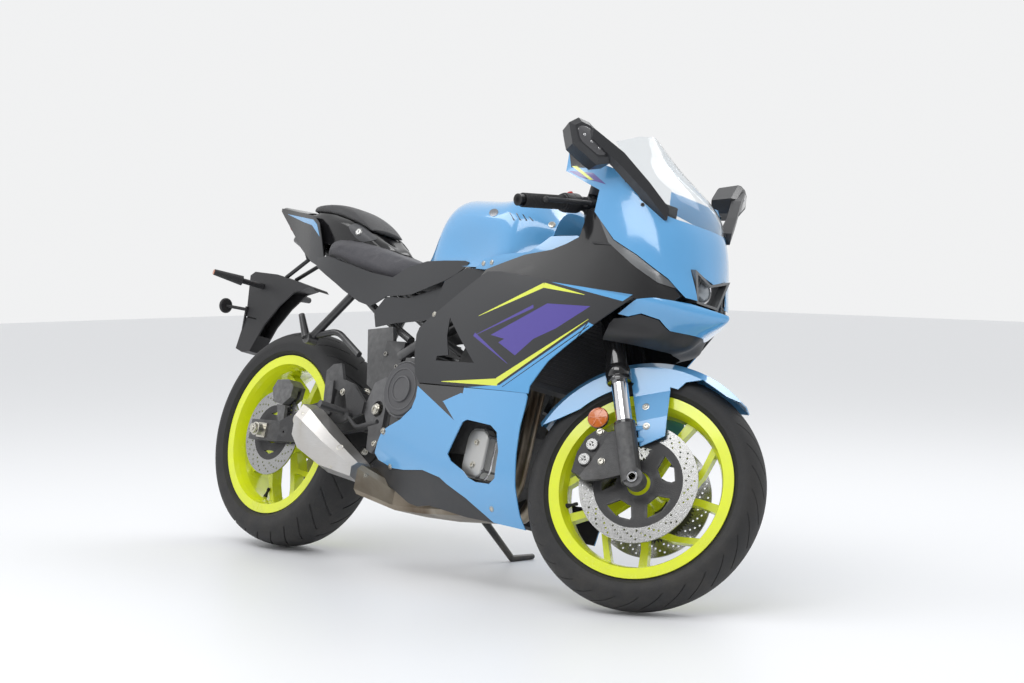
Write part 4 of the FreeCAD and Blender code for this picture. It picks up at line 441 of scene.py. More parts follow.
finishes = {
    "bluePaint": {"color": (0.105, 0.335, 0.625), "rough": 0.16, "coat": 1.0, "grain": 900, "depth": 0.02,
                  "uneven": 0.10, "dust": 0.05},
    "glossBlack": {"color": (0.012, 0.012, 0.013), "rough": 0.14, "coat": 1.0, "grain": 900, "depth": 0.02,
                   "uneven": 0.10, "dust": 0.08},
    "satinDark": {"color": (0.026, 0.027, 0.030), "rough": 0.36, "grain": 700, "depth": 0.08, "uneven": 0.25,
                  "dust": 0.10},
    "mouldedBlack": {"color": (0.022, 0.022, 0.024), "rough": 0.52, "grain": 520, "depth": 0.25,
                     "uneven": 0.30, "dust": 0.25},
    "fastenerBlack": {"color": (0.020, 0.020, 0.021), "rough": 0.35, "metal": 1.0, "grain": 800,
                      "depth": 0.1, "wear": 0.6},
    "frameBlack": {"color": (0.018, 0.018, 0.020), "rough": 0.34, "coat": 0.3, "grain": 600, "depth": 0.2,
                   "wear": 0.5, "dust": 0.4},
    "castBlack": {"color": (0.026, 0.026, 0.028), "rough": 0.46, "grain": 420, "depth": 0.5, "wear": 0.4,
                  "dust": 0.2},
    "engineBlack": {"color": (0.040, 0.040, 0.042), "rough": 0.50, "grain": 360, "depth": 0.6, "wear": 0.4,
                    "dust": 0.25},
    "coverGrey": {"color": (0.085, 0.085, 0.090), "rough": 0.45, "metal": 0.3, "grain": 420, "depth": 0.4,
                  "wear": 0.4, "dust": 0.3},
    "caliperBlack": {"color": (0.022, 0.022, 0.024), "rough": 0.36, "grain": 420, "depth": 0.4,
                     "wear": 0.6, "dust": 0.3},
    "rimYellow": {"color": (0.70, 0.78, 0.015), "rough": 0.24, "coat": 0.7, "grain": 500, "depth": 0.08,
                  "uneven": 0.12, "dust": 0.25},
    "rubber": {"color": (0.022, 0.022, 0.023), "rough": 0.68, "grain": 260, "depth": 0.6, "uneven": 0.4,
               "dust": 0.12},
    "gripRubber": {"color": (0.016, 0.016, 0.017), "rough": 0.75, "grain": 700, "depth": 0.5},
    "steelDisc": {"color": (0.40, 0.40, 0.395), "rough": 0.27, "metal": 1.0, "brush": 90, "depth": 0.15},
    "dullSteel": {"color": (0.36, 0.35, 0.33), "rough": 0.38, "metal": 1.0, "brush": 60, "depth": 0.2,
                  "dust": 0.5},
    "zincSteel": {"color": (0.60, 0.58, 0.52), "rough": 0.28, "metal": 1.0, "brush": 80, "depth": 0.1},
    "chrome": {"color": (0.74, 0.74, 0.76), "rough": 0.07, "metal": 1.0, "brush": 120, "depth": 0.03},
    "silencerSteel": {"color": (0.60, 0.59, 0.58), "rough": 0.33, "metal": 0.9, "brush": 40, "depth": 0.25,
                      "stain": (0.40, 0.36, 0.30), "stainAmount": 0.35},
    "headerSteel": {"color": (0.36, 0.32, 0.26), "rough": 0.40, "metal": 1.0, "brush": 50, "depth": 0.2,
                    "stain": (0.11, 0.07, 0.04), "stainAmount": 0.85},
    "pumpSilver": {"color": (0.55, 0.55, 0.54), "rough": 0.38, "metal": 0.8, "grain": 420, "depth": 0.4,
                   "wear": 0.2, "dust": 0.2},
    "coreAluminium": {"color": (0.10, 0.10, 0.105), "rough": 0.5, "metal": 0.6, "grain": 500, "depth": 0.2},
    "amberLens": {"color": (0.50, 0.11, 0.004), "rough": 0.12, "coat": 1.0, "grain": 240, "depth": 0.5},
    "redLens": {"color": (0.36, 0.008, 0.006), "rough": 0.12, "coat": 1.0, "grain": 240, "depth": 0.5},
    "redPlastic": {"color": (0.55, 0.02, 0.015), "rough": 0.35, "grain": 500, "depth": 0.1},
    "goldBolt": {"color": (0.72, 0.45, 0.14), "rough": 0.28, "metal": 1.0, "brush": 80, "depth": 0.1},
    "lampInner": {"color": (0.16, 0.165, 0.17), "rough": 0.16, "metal": 0.5, "coat": 1.0, "grain": 300,
                  "depth": 0.1},
    "mirrorGlass": {"color": (0.80, 0.82, 0.84), "rough": 0.02, "metal": 1.0, "brush": 100, "depth": 0.005},
    "displayGlass": {"color": (0.010, 0.011, 0.013), "rough": 0.06, "coat": 1.0, "grain": 900,
                     "depth": 0.01},
    "purplePaint": {"color": (0.082, 0.062, 0.29), "rough": 0.18, "coat": 1.0, "grain": 900, "depth": 0.02},
    "yellowPaint": {"color": (0.66, 0.72, 0.09), "rough": 0.18, "coat": 1.0, "grain": 900, "depth": 0.02},
    "plateGrey": {"color": (0.060, 0.061, 0.066), "rough": 0.46, "grain": 600, "depth": 0.12},
    "badgeSteel": {"color": (0.26, 0.27, 0.29), "rough": 0.22, "metal": 1.0, "brush": 120, "depth": 0.05},
    "smokeLens": {"color": (0.075, 0.075, 0.08), "rough": 0.08, "coat": 1.0, "grain": 300, "depth": 0.1},
    "lensGlass": {"color": (0.30, 0.33, 0.36), "rough": 0.04, "metal": 0.4, "coat": 1.0, "grain": 200,
                  "depth": 0.02},
}
housing = {"half": 91.0, "color": (0.010, 0.010, 0.011), "rough": 0.12}


def newMaterial(name):
    material = bpy.data.materials.new(name)
    material.use_nodes = True
    return material, material.node_tree, material.node_tree.nodes["Principled BSDF"]


def relief(tree, shader, height, depth):
    bump = addNode(tree, "Bump", Height=height, Strength=1.0, Distance=depth * mm)
    tree.links.new(bump.outputs["Normal"], shader.inputs["Normal"])


def surface(name, extra=None):
    values = finishes[name]
    material, tree, shader = newMaterial(name)
    color = values["color"]
    if "brush" in values:
        detail = useGroup(tree, groups["brush"], Scale=float(values["brush"]))
        spread = 0.35
    else:
        detail = useGroup(tree, groups["grain"], Scale=float(values["grain"]),
                          Unevenness=values.get("uneven", 0.3))
        spread = values.get("uneven", 0.3)
    darker = [part * (1 - 0.5 * spread) for part in color]
    lighter = [min(1, part * (1 + 0.5 * spread)) for part in color]
    result = mixColor(tree, detail["Tone"], darker, lighter)
    if "stain" in values:
        result = useGroup(tree, groups["stain"], Color=result, Stain=values["stain"],
                          Amount=values["stainAmount"])["Color"]
    if "wear" in values:
        result = useGroup(tree, groups["wear"], Color=result, Amount=values["wear"])["Color"]
    roughness = calc(tree, "MULTIPLY_ADD", detail["Tone"], 0.12, values["rough"] - 0.06)
    if extra:
        result, roughness = extra(tree, result, roughness)
    if "dust" in values:
        dusty = useGroup(tree, groups["dust"], Color=result, Amount=values["dust"])
        result = dusty["Color"]
        roughness = calc(tree, "MULTIPLY_ADD", dusty["Mask"], 0.35, roughness)
    tree.links.new(result, shader.inputs["Base Color"])
    tree.links.new(roughness, shader.inputs["Roughness"])
    shader.inputs["Metallic"].default_value = values.get("metal", 0)
    shader.inputs["Coat Weight"].default_value = values.get("coat", 0)
    shader.inputs["Coat Roughness"].default_value = 0.06
    relief(tree, shader, detail["Height"], values["depth"])
    return material


def striped(tree, color, roughness):
    masks = useGroup(tree, groups["stripes"])
    for name, paint in stripeColors.items():
        color = mixColor(tree, masks[name], color, paint)
        roughness = mixValue(tree, masks[name], roughness, stripeRough)
    return color, roughness


def darkHousing(tree, color, roughness):
    # the tail's base under the pad is gloss black, its outer flanks are satin
    place = addNode(tree, "TexCoord").outputs["Object"]
    offset = reckon(tree, "SUBTRACT", place, tuple(rearAxle))
    across = reckon(tree, "DOT_PRODUCT", offset, tuple(turn.col[1] / mm), output="Value")
    across = calc(tree, "ABSOLUTE", across)
    inner = calc(tree, "LESS_THAN", across, housing["half"])
    return mixColor(tree, inner, color, housing["color"]), mixValue(tree, inner, roughness, housing["rough"])


def clearMaterial(name, color, lightColor, rough):
    material, tree, shader = newMaterial(name)
    swirl = useGroup(tree, groups["grain"], Scale=40.0, Unevenness=0.2)
    tree.links.new(mixColor(tree, swirl["Tone"], color, lightColor), shader.inputs["Base Color"])
    shader.inputs["Transmission Weight"].default_value = 0.96
    shader.inputs["Roughness"].default_value = rough
    shader.inputs["IOR"].default_value = 1.18
    relief(tree, shader, swirl["Height"], 0.02)
    return material


def seatMaterial(name, color, lightColor):
    material, tree, shader = newMaterial(name)
    skin = useGroup(tree, groups["leather"], Scale=420.0)
    result = mixColor(tree, skin["Tone"], color, lightColor)
    dusty = useGroup(tree, groups["dust"], Color=result, Amount=0.3, Reach=1.2, Dust=(0.12, 0.115, 0.12))
    tree.links.new(dusty["Color"], shader.inputs["Base Color"])
    tree.links.new(calc(tree, "MULTIPLY_ADD", skin["Tone"], 0.14, 0.42), shader.inputs["Roughness"])
    shader.inputs["Sheen Weight"].default_value = 0.12
    relief(tree, shader, skin["Height"], 0.35)
    return material


made = {name: surface(name) for name in finishes}
for name, base, extra in (("panelStriped", "satinDark", striped), ("upperStriped", "glossBlack", striped),
                          ("cowlStriped", "bluePaint", striped), ("tailPaint", "satinDark", darkHousing)):
    made[name] = surface(base, extra)
    made[name].name = name
made["screenClear"] = clearMaterial("screenClear", (0.86, 0.90, 0.92), (0.9, 0.92, 0.94), 0.02)
made["seatLeather"] = seatMaterial("seatLeather", (0.030, 0.029, 0.036), (0.052, 0.051, 0.062))
made["padLeather"] = seatMaterial("padLeather", (0.014, 0.014, 0.016), (0.024, 0.024, 0.027))

nodeFinish = {
    "front_rim": "rimYellow", "rear_rim": "rimYellow", "front_tyre": "rubber", "rear_tyre": "rubber",
    "front_disc_left": "steelDisc", "front_disc_right": "steelDisc", "rear_disc": "steelDisc",
    "rear_sprocket": "dullSteel", "chain": "dullSteel", "front_axle": "zincSteel",
    "rear_axle": "zincSteel", "pivot_axle": "zincSteel", "fork_inner_tubes": "chrome",
    "fork_upper_tubes": "glossBlack", "fork_feet": "castBlack", "yokes": "castBlack",
    "swingarm": "castBlack", "foot_hanger_left": "castBlack", "foot_hanger_right": "castBlack",
    "front_calipers": "caliperBlack", "rear_caliper": "caliperBlack", "main_frame": "frameBlack",
    "tail_frame": "frameBlack", "side_stand": "frameBlack", "passenger_hangers": "frameBlack",
    "engine_case": "engineBlack", "cylinder_head": "engineBlack", "engine_covers": "coverGrey",
    "radiator": "coreAluminium", "exhaust_headers": "headerSteel", "exhaust_box": "headerSteel",
    "silencer": "silencerSteel", "rear_shock": "frameBlack", "handlebar_left": "mouldedBlack",
    "handlebar_right": "mouldedBlack", "nose_cowl": "bluePaint", "upper_panels": "upperStriped",
    "side_panel_left": "panelStriped", "side_panel_right": "panelStriped",
    "lower_cowl_left": "cowlStriped", "lower_cowl_right": "cowlStriped", "tail_cowl": "tailPaint",
    "front_fender": "bluePaint", "fuel_tank": "bluePaint", "tank_covers": "bluePaint",
    "belly_pan": "satinDark", "chin_lip": "bluePaint", "seat_panels": "satinDark",
    "inner_cowl": "mouldedBlack", "plate_bracket": "mouldedBlack", "pivot_covers": "coverGrey",
    "mirror_left": "satinDark", "mirror_right": "satinDark", "instrument": "mouldedBlack",
    "filler_cap": "frameBlack", "windscreen": "screenClear", "headlamps": "lampInner",
    "rear_lights": "mouldedBlack", "rider_seat": "seatLeather", "rear_hump": "padLeather",
}
for node, piece in frame["nodes"].items():
    piece.data.materials.clear()
    piece.data.materials.append(made[nodeFinish[node]])
print("stage: finishes")


# mesh helpers: a form gathers points and faces, in mm on the upright motorcycle

def newForm():
    return {"points": [], "faces": []}


def addFaces(form, points, faces):
    base = len(form["points"])
    form["points"] += [Vector(point) for point in points]
    form["faces"] += [tuple(base + index for index in face) for face in faces]


def bandFaces(count, layers, ring=False):
    # four-sided faces between layers of count points each; a ring joins the last layer to the first
    faces = []
    for layer in range(layers if ring else layers - 1):
        low = layer * count
        high = (layer + 1) % layers * count
        for index in range(count):
            after = (index + 1) % count
            faces.append((low + index, low + after, high + after, high + index))
    return faces


def spoke(angle):
    return Vector((math.cos(angle), 0, math.sin(angle)))


def basis(axis):
    axis = Vector(axis).normalized()
    side = axis.cross(Vector((0, 0, 1)) if abs(axis.z) < 0.9 else Vector((1, 0, 0))).normalized()
    return axis, side, axis.cross(side)


def addLathe(form, place, axis, profile, sides=16):
    # profile is (radius, height along the axis); a first or last radius of 0 closes the end
    axis, side, rise = basis(axis)
    place = Vector(place)
    points = []
    rings = []
    for radius, height in profile:
        if radius == 0:
            rings.append([len(points)])
            points.append(place + axis * height)
            continue
        rings.append(list(range(len(points), len(points) + sides)))
        for index in range(sides):
            angle = 2 * math.pi * index / sides
            points.append(place + axis * height + (side * math.cos(angle) + rise * math.sin(angle)) * radius)
    faces = []
    for low, high in zip(rings, rings[1:]):
        for index in range(sides):
            after = (index + 1) % sides
            a = low[index] if len(low) > 1 else low[0]
            b = low[after] if len(low) > 1 else low[0]
            c = high[after] if len(high) > 1 else high[0]
            d = high[index] if len(high) > 1 else high[0]
            face = [a, b, c, d]
            face = [corner for number, corner in enumerate(face) if corner not in face[:number]]
            if len(face) > 2:
                faces.append(face)
    addFaces(form, points, faces)


def addRod(form, place, axis, radius, length, sides=16):
    addLathe(form, place, axis, [(0, 0), (radius, 0), (radius, length), (0, length)], sides)


def addScrew(form, place, axis, radius=4.0, height=2.4):
    # cap screw with a hexagon socket
    floor = height * 0.35
    addLathe(form, place, axis, [(radius * 0.98, -1.2), (radius, height * 0.75), (radius * 0.86, height),
                                 (radius * 0.55, height), (radius * 0.5, floor), (0, floor)], 18)


def addHexNut(form, place, axis, radius=8.0, height=6.0):
    addLathe(form, place, axis, [(radius * 1.25, -1), (radius * 1.25, 1), (radius * 1.2, 1.2)], 24)
    addLathe(form, place, axis, [(radius, 0), (radius, height * 0.85), (radius * 0.88, height),
                                 (radius * 0.55, height), (radius * 0.5, height * 0.7), (0, height * 0.7)], 6)


def addPrism(form, corners, lift, shrink=0.0):
    # corners in order round a flat face, raised by lift, with its rim drawn in by shrink
    corners = [Vector(corner) for corner in corners]
    middle = sum(corners, Vector()) / len(corners)
    lift = Vector(lift)
    top = [corner + lift + (middle - corner).normalized() * shrink for corner in corners]
    count = len(corners)
    faces = [tuple(range(count))[::-1], tuple(range(count, 2 * count))]
    addFaces(form, corners + top, faces + bandFaces(count, 2))


def addPiece(name, form, body, finish, smooth=35):
    convert = frameOf[body]
    mesh = bpy.data.meshes.new(name)
    mesh.from_pydata([convert(point) for point in form["points"]], [], form["faces"])
    mesh.validate()
    tidy = bmesh.new()
    tidy.from_mesh(mesh)
    bmesh.ops.recalc_face_normals(tidy, faces=tidy.faces)
    tidy.to_mesh(mesh)
    tidy.free()
    if smooth:
        mesh.shade_smooth()
        mesh.set_sharp_from_angle(angle=math.radians(smooth))
    mesh.materials.append(made[finish])
    piece = bpy.data.objects.new(name, mesh)
    bpy.context.collection.objects.link(piece)
    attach(piece, body)
    return piece


def settle(piece):
    # the piece's mesh with its modifiers worked in
    result = bpy.data.meshes.new_from_object(piece.evaluated_get(bpy.context.evaluated_depsgraph_get()))
    piece.modifiers.clear()
    piece.data = result
    return result


def hubPlace(wheel, point):
    return (frontHub if wheel == "front" else rearHub) + Vector(point)


# tyres with a cut tread

tread = {
    "front": {"width": 120, "rimWidth": 102, "radius": 300, "pitches": 30, "slant": 1.5},
    "rear": {"width": 180, "rimWidth": 152, "radius": 315, "pitches": 30, "slant": 1.3},
    "rimEdge": 232,
    "bead": 216.3,
    "wall": 9,
    "rimWall": 6.3,
    "depth": 3.4,
    "inset": 1.3,
    "columns": [0.0, 0.012, 0.085, 0.097, 0.20, 0.31, 0.42, 0.5, 0.512, 0.585, 0.597, 0.70, 0.81, 0.92],
    "rightColumns": (1, 2),
    "leftColumns": (8, 9),
    "grooved": (0.13, 0.89),
    "shoulder": 0.42,
    "rows": [-1.0, -0.985, -0.95, -0.90, -0.88, -0.80, -0.70, -0.60, -0.50, -0.40, -0.30, -0.20, -0.14, -0.12,
             -0.06, 0.0, 0.06, 0.12, 0.14, 0.20, 0.30, 0.40, 0.50, 0.60, 0.70, 0.80, 0.88, 0.90, 0.95,
             0.985, 1.0],
}


def addTyre(wheel):
    values = tread[wheel]
    edge = tread["rimEdge"]
    radius = values["radius"] - tread["inset"]
    half = values["width"] / 2 - tread["inset"]
    inside = values["rimWidth"] / 2 - tread["rimWall"]
    shoulder = edge + tread["shoulder"] * (values["radius"] - edge)
    # (distance across, radius, share of the crown or None on the sidewall)
    low = [(inside, tread["bead"], None), (inside, edge + 0.5, None), (inside + 3, edge + 4, None),
           (half - 9, edge + 6.5, None), (half - 4.6, edge + 11, None), (half - 3.2, edge + 11.5, None),
           (half - 2.8, edge + 14, None), (half - 1.2, shoulder - 8, None), (half - 0.2, shoulder - 3, None)]
    section = [(-across, out, share) for across, out, share in low]
    for share in tread["rows"]:
        section.append((share * half, shoulder + math.sqrt(1 - share * share) * (radius - shoulder), share))
    section += low[::-1]
    wall = tread["wall"]
    section += [(inside - wall, tread["bead"], None), (half - wall - 2, shoulder, None),
                (half * 0.5, radius - wall - 10, None), (-half * 0.5, radius - wall - 10, None),
                (-half + wall + 2, shoulder, None), (-inside + wall, tread["bead"], None)]
    columns = [(number + share) / values["pitches"] for number in range(values["pitches"])
               for share in tread["columns"]]
    step = len(tread["columns"])
    form = newForm()
    points = []
    for column, around in enumerate(columns):
        for across, out, share in section:
            slide = 0
            if share is not None:
                slide = values["slant"] * abs(share) ** 1.4 / values["pitches"]
                place = column % step
                columnsHere = tread["rightColumns"] if share > 0 else tread["leftColumns"]
                if place in columnsHere and tread["grooved"][0] < abs(share) < tread["grooved"][1]:
                    out -= tread["depth"]
            elif abs(across) > half - 12:
                slide = values["slant"] / values["pitches"]
            angle = 2 * math.pi * (around + slide)
            points.append(hubPlace(wheel, spoke(angle) * out + acrossY * across))
    addFaces(form, points, bandFaces(len(section), len(columns), ring=True))
    piece = addPiece(wheel + "TreadedTyre", form, wheel + "_wheel", "rubber", smooth=30)
    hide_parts(wheel + "_tyre")


addTyre("front")
addTyre("rear")
print("stage: tyres")


# brake discs with drilled rings

drilled = {
    "front_disc_right": {"wheel": "front", "plane": -68, "rings": [119, 126, 133, 140], "count": 24},
    "front_disc_left": {"wheel": "front", "plane": 68, "rings": [119, 126, 133, 140], "count": 24},
    "rear_disc": {"wheel": "rear", "plane": -92, "rings": [90, 98, 106, 114], "count": 18},
}
drill = {"hole": 2.7, "reach": 8, "shift": 0.31, "carrier": 8}


def drillDisc(node):
    values = drilled[node]
    wheel = values["wheel"]
    form = newForm()
    for ring, radius in enumerate(values["rings"]):
        for index in range(values["count"]):
            angle = 2 * math.pi * (index + drill["shift"] * ring) / values["count"]
            place = hubPlace(wheel, spoke(angle) * radius + acrossY * (values["plane"] - drill["reach"]))
            addRod(form, place, acrossY, drill["hole"], 2 * drill["reach"], 12)
    convert = frameOf[wheel + "_wheel"]
    mesh = bpy.data.meshes.new("holes")
    mesh.from_pydata([convert(point) for point in form["points"]], [], form["faces"])
    cutter = bpy.data.objects.new("holes", mesh)
    bpy.context.collection.objects.link(cutter)
    plate = bpy.data.objects.new(node + "_drilled", frame["nodes"][node].data.copy())
    bpy.context.collection.objects.link(plate)
    cut = plate.modifiers.new("drill", "BOOLEAN")
    cut.object = cutter
    cut.operation = "DIFFERENCE"
    cut.solver = "EXACT"
    bpy.context.view_layer.update()
    result = settle(plate)
    bpy.data.objects.remove(cutter)
    if "custom_normal" in result.attributes:
        result.attributes.remove(result.attributes["custom_normal"])
    result.shade_smooth()
    result.set_sharp_from_angle(angle=math.radians(25))
    # dark carrier inside the bright ring
    bore = values["rings"][0] - drill["carrier"]
    result.materials.clear()
    for finish in ("steelDisc", "castBlack"):
        result.materials.append(made[finish])
    hub = convert(hubPlace(wheel, (0, 0, 0)))
    axle = (convert(hubPlace(wheel, (0, 1, 0))) - hub).normalized()
    for face in result.polygons:
        offset = face.center - hub
        radial = (offset - axle * offset.dot(axle)).length / mm
        face.material_index = 1 if radial < bore else 0
    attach(plate, wheel + "_wheel")
    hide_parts(node)


for node in drilled:
    drillDisc(node)
print("stage: brake discs")


# soft seats

softSeats = {
    "rider_seat": {"name": "riderCushion", "finish": "seatLeather", "shrink": 2.0, "voxel": 5, "pressure": 4,
                   "cap": 6, "fill": 0.7},
    "rear_hump": {"name": "passengerPad", "finish": "padLeather", "shrink": 2.0, "voxel": 4.5, "pressure": 4,
                  "cap": 5, "fill": 0.75},
}
sewing = {"frames": 20, "quality": 5, "proud": 0.8, "ease": 0.5, "easeRounds": 4}


def addSoftSeat(node):
    values = softSeats[node]
    mesh = frame["nodes"][node].data.copy()
    mesh.name = values["name"]
    piece = bpy.data.objects.new(values["name"], mesh)
    bpy.context.collection.objects.link(piece)
    bpy.context.view_layer.objects.active = piece
    remesh = piece.modifiers.new("remesh", "REMESH")
    remesh.mode = "VOXEL"
    remesh.voxel_size = values["voxel"] * mm
    bpy.context.view_layer.update()
    smooth = settle(piece)
    start = [vertex.co.copy() for vertex in smooth.vertices]
    normals = [vertex.normal.copy() for vertex in smooth.vertices]
    for vertex, normal in zip(smooth.vertices, normals):
        vertex.co -= normal * values["shrink"] * mm
    before = [vertex.co.copy() for vertex in smooth.vertices]
    cloth = piece.modifiers.new("cloth", "CLOTH")
    cloth.settings.use_pressure = True
    cloth.settings.uniform_pressure_force = values["pressure"]
    cloth.settings.effector_weights.gravity = 0
    cloth.settings.quality = sewing["quality"]
    cloth.point_cache.frame_start = 1
    cloth.point_cache.frame_end = sewing["frames"]
    for number in range(1, sewing["frames"] + 1):
        bpy.context.scene.frame_set(number)
    swelled = piece.evaluated_get(bpy.context.evaluated_depsgraph_get()).to_mesh()
    swelledPlaces = [vertex.co.copy() for vertex in swelled.vertices]
    piece.modifiers.clear()
    bpy.context.scene.frame_set(1)
    for vertex, place, first in zip(smooth.vertices, swelledPlaces, before):
        move = place - first
        if move.length > values["cap"] * mm:
            move = move.normalized() * values["cap"] * mm
        vertex.co = first + move
    # nothing leaves the space of the plain solid by more than a hair
    for vertex, place, normal in zip(smooth.vertices, start, normals):
        proud = (vertex.co - place).dot(normal)
        if proud > sewing["proud"] * mm:
            vertex.co -= normal * (proud - sewing["proud"] * mm)
    ease = piece.modifiers.new("ease", "SMOOTH")
    ease.factor = sewing["ease"]
    ease.iterations = sewing["easeRounds"]
    divide = piece.modifiers.new("divide", "SUBSURF")
    divide.levels = divide.render_levels = 1
    smooth.materials.clear()
    smooth.materials.append(made[values["finish"]])
    smooth.shade_smooth()
    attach(piece, "chassis")
    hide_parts(node)


for node in softSeats:
    addSoftSeat(node)
print("stage: seats")


# chain of separate links

chainRun = {
    "driven": (0, 0, 315),
    "drive": (600, 0, 418),
    "bigTeeth": 42,
    "smallTeeth": 16,
    "pitch": 15.875,
    "rise": 6.4,
    "steps": 60,
    "plane": 91,
    "plateWidth": 12.5,
    "plateSides": (7.4, 5.2),
    "plateShares": (1.0, 0.82),
    "waist": 0.72,
    "roller": 5.0,
    "pin": 2.6,
}


def chainPath():
    big = chainRun["pitch"] / (2 * math.sin(math.pi / chainRun["bigTeeth"]))
    small = chainRun["pitch"] / (2 * math.sin(math.pi / chainRun["smallTeeth"]))
    driven = Vector(chainRun["driven"])
    drive = Vector(chainRun["drive"])
    gap = drive - driven
    lean = math.atan2(gap.z, gap.x)
    spread = math.asin((big - small) / gap.length)
    upper = lean + math.pi / 2 + spread
    lower = lean - math.pi / 2 - spread

    steps = chainRun["steps"]
    points = []
    for index in range(steps + 1):
        angle = upper + (lower - upper) * index / steps
        points.append(drive + spoke(angle) * (small + chainRun["rise"]))
    for index in range(2 * steps + 1):
        angle = lower + (upper - lower - 2 * math.pi) * index / (2 * steps)
        points.append(driven + spoke(angle) * (big + chainRun["rise"]))
    return points


def addChain():
    points = chainPath()
    points.append(points[0])
    lengths = [0]
    for a, b in zip(points, points[1:]):
        lengths.append(lengths[-1] + (b - a).length)
    count = 2 * round(lengths[-1] / chainRun["pitch"] / 2)
    pitch = lengths[-1] / count

    def along(distance):
        distance %= lengths[-1]
        for index in range(1, len(lengths)):
            if lengths[index] >= distance:
                share = (distance - lengths[index - 1]) / max(1e-6, lengths[index] - lengths[index - 1])
                return points[index - 1].lerp(points[index], share)
        return points[-1]

    form = newForm()
    plane = chainRun["plane"]
    for index in range(count):
        first = along(index * pitch)
        second = along((index + 1) * pitch)
        run = (second - first).normalized()
        up = Vector((-run.z, 0, run.x))
        half = chainRun["plateWidth"] / 2 * chainRun["plateShares"][index % 2]
        side = chainRun["plateSides"][index % 2]
        outline = []
        for centre, start in ((second, math.pi / 2), (first, -math.pi / 2)):
            for step in range(7):
                angle = start - math.pi * step / 6
                outline.append(centre + run * math.cos(angle) * half + up * math.sin(angle) * half)
        waist = chainRun["waist"]
        outline.insert(7, (first + second) / 2 - up * half * waist)
        outline.append((first + second) / 2 + up * half * waist)
        for sign in (-1, 1):
            ring = [point + acrossY * (plane + sign * side - 0.9) for point in outline]
            addPrism(form, ring, acrossY * 1.8, 0.3)
        addRod(form, first + acrossY * (plane - 8), acrossY, chainRun["pin"], 16, 10)
        addLathe(form, first + acrossY * (plane - 4.4), acrossY,
                 [(chainRun["roller"], 0), (chainRun["roller"], 8.8)], 12)
    piece = addPiece("driveChain", form, "chassis", "dullSteel", smooth=30)
    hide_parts("chain")


addChain()
print("stage: chain")


# radiator core of flat tubes and folded fins

core = {
    "place": (1088, 0, 506),
    "tip": -12,
    "front": 28,
    "half": 158,
    "low": 9,
    "high": 238,
    "rows": 23,
    "tube": 0.9,
    "foldPitch": 4.2,
    "foldDepth": 2.2,
}


def addRadiatorCore():
    tip = Matrix.Rotation(math.radians(core["tip"]), 3, acrossY)
    place = Vector(core["place"])
    form = newForm()

    def at(x, y, z):
        return tip @ Vector((x, y, z)) + place

    step = (core["high"] - core["low"]) / core["rows"]
    folds = int(2 * core["half"] / core["foldPitch"])
    for row in range(core["rows"] + 1):
        low = core["low"] + row * step
        front = core["front"]
        corners = [at(front - 0.5, side * core["half"], low + rise * core["tube"])
                   for side, rise in ((-1, -1), (1, -1), (1, 1), (-1, 1))]
        addPrism(form, corners, tip @ Vector((3.2, 0, 0)), 0.2)
        if row == core["rows"]:
            continue
        points = []
        for fold in range(2 * folds + 1):
            side = -core["half"] + fold * core["foldPitch"] / 2
            reach = front + 0.2 + (core["foldDepth"] if fold % 2 else 0)
            points += [at(reach, side, low + core["tube"]), at(reach, side, low + step - core["tube"])]
        faces = [(2 * fold, 2 * fold + 2, 2 * fold + 3, 2 * fold + 1) for fold in range(2 * folds)]
        addFaces(form, points, faces)
    addPiece("radiatorFins", form, "chassis", "coreAluminium", smooth=0)


addRadiatorCore()
print("stage: radiator core")

# finding the skin: where a line of sight or a straight line first meets the solids

def toSteer(place):
    return steerTurn.transposed() @ (toBike(place) - steerBase) + steerBase


backOf = {fromBike: toBike, fromSteer: toSteer}
skins = {}


def skinOf(node):
    if node not in skins:
        piece = frame["nodes"][node]
        points = [piece.matrix_world @ corner.co for corner in piece.data.vertices]
        skins[node] = BVHTree.FromPolygons(points, [face.vertices[:] for face in piece.data.polygons])
    return skins[node]


def landing(point, ahead, nodes=None, convert=fromBike):
    # nearest place on the nodes met from a point, with the way out of the skin, in mm
    start = convert(point)
    way = (convert(Vector(point) + Vector(ahead)) - start).normalized()
    best = None
    for node in nodes or frame["nodes"]:
        hit, normal, _, reach = skinOf(node).ray_cast(start, way)
        if hit is not None and (best is None or reach < best[0]):
            best = (reach, hit, normal, node)
    if best is None:
        return None
    back = backOf[convert]
    place = back(best[1])
    normal = (back(best[1] + best[2] * mm) - place).normalized()
    if normal.dot(Vector(ahead)) > 0:
        normal.negate()
    return place, normal, best[3]


def seen(x, z, side=-1, nodes=None, plane=200):
    # the skin behind a point of the upright plane beside the motorcycle
    eye = Vector((stripes["eye"][0], side * stripes["eye"][1], stripes["eye"][2]))
    return landing(eye, Vector((x, side * plane, z)) - eye, nodes)


def washer(form, found, profile, sides=24):
    # a turned ring or disc on the skin that landing found
    addLathe(form, found[0], found[1], profile, sides)


def roundOff(corners, radius, steps=5):
    points = []
    for index, corner in enumerate(corners):
        corner = Vector(corner)
        before = Vector(corners[index - 1]) - corner
        after = Vector(corners[(index + 1) % len(corners)]) - corner
        cut = min(radius, before.length * 0.45, after.length * 0.45)
        start = corner + before.normalized() * cut
        end = corner + after.normalized() * cut
        for step in range(steps + 1):
            share = step / steps
            points.append(start * (1 - share) ** 2 + corner * 2 * share * (1 - share) + end * share ** 2)
    return points


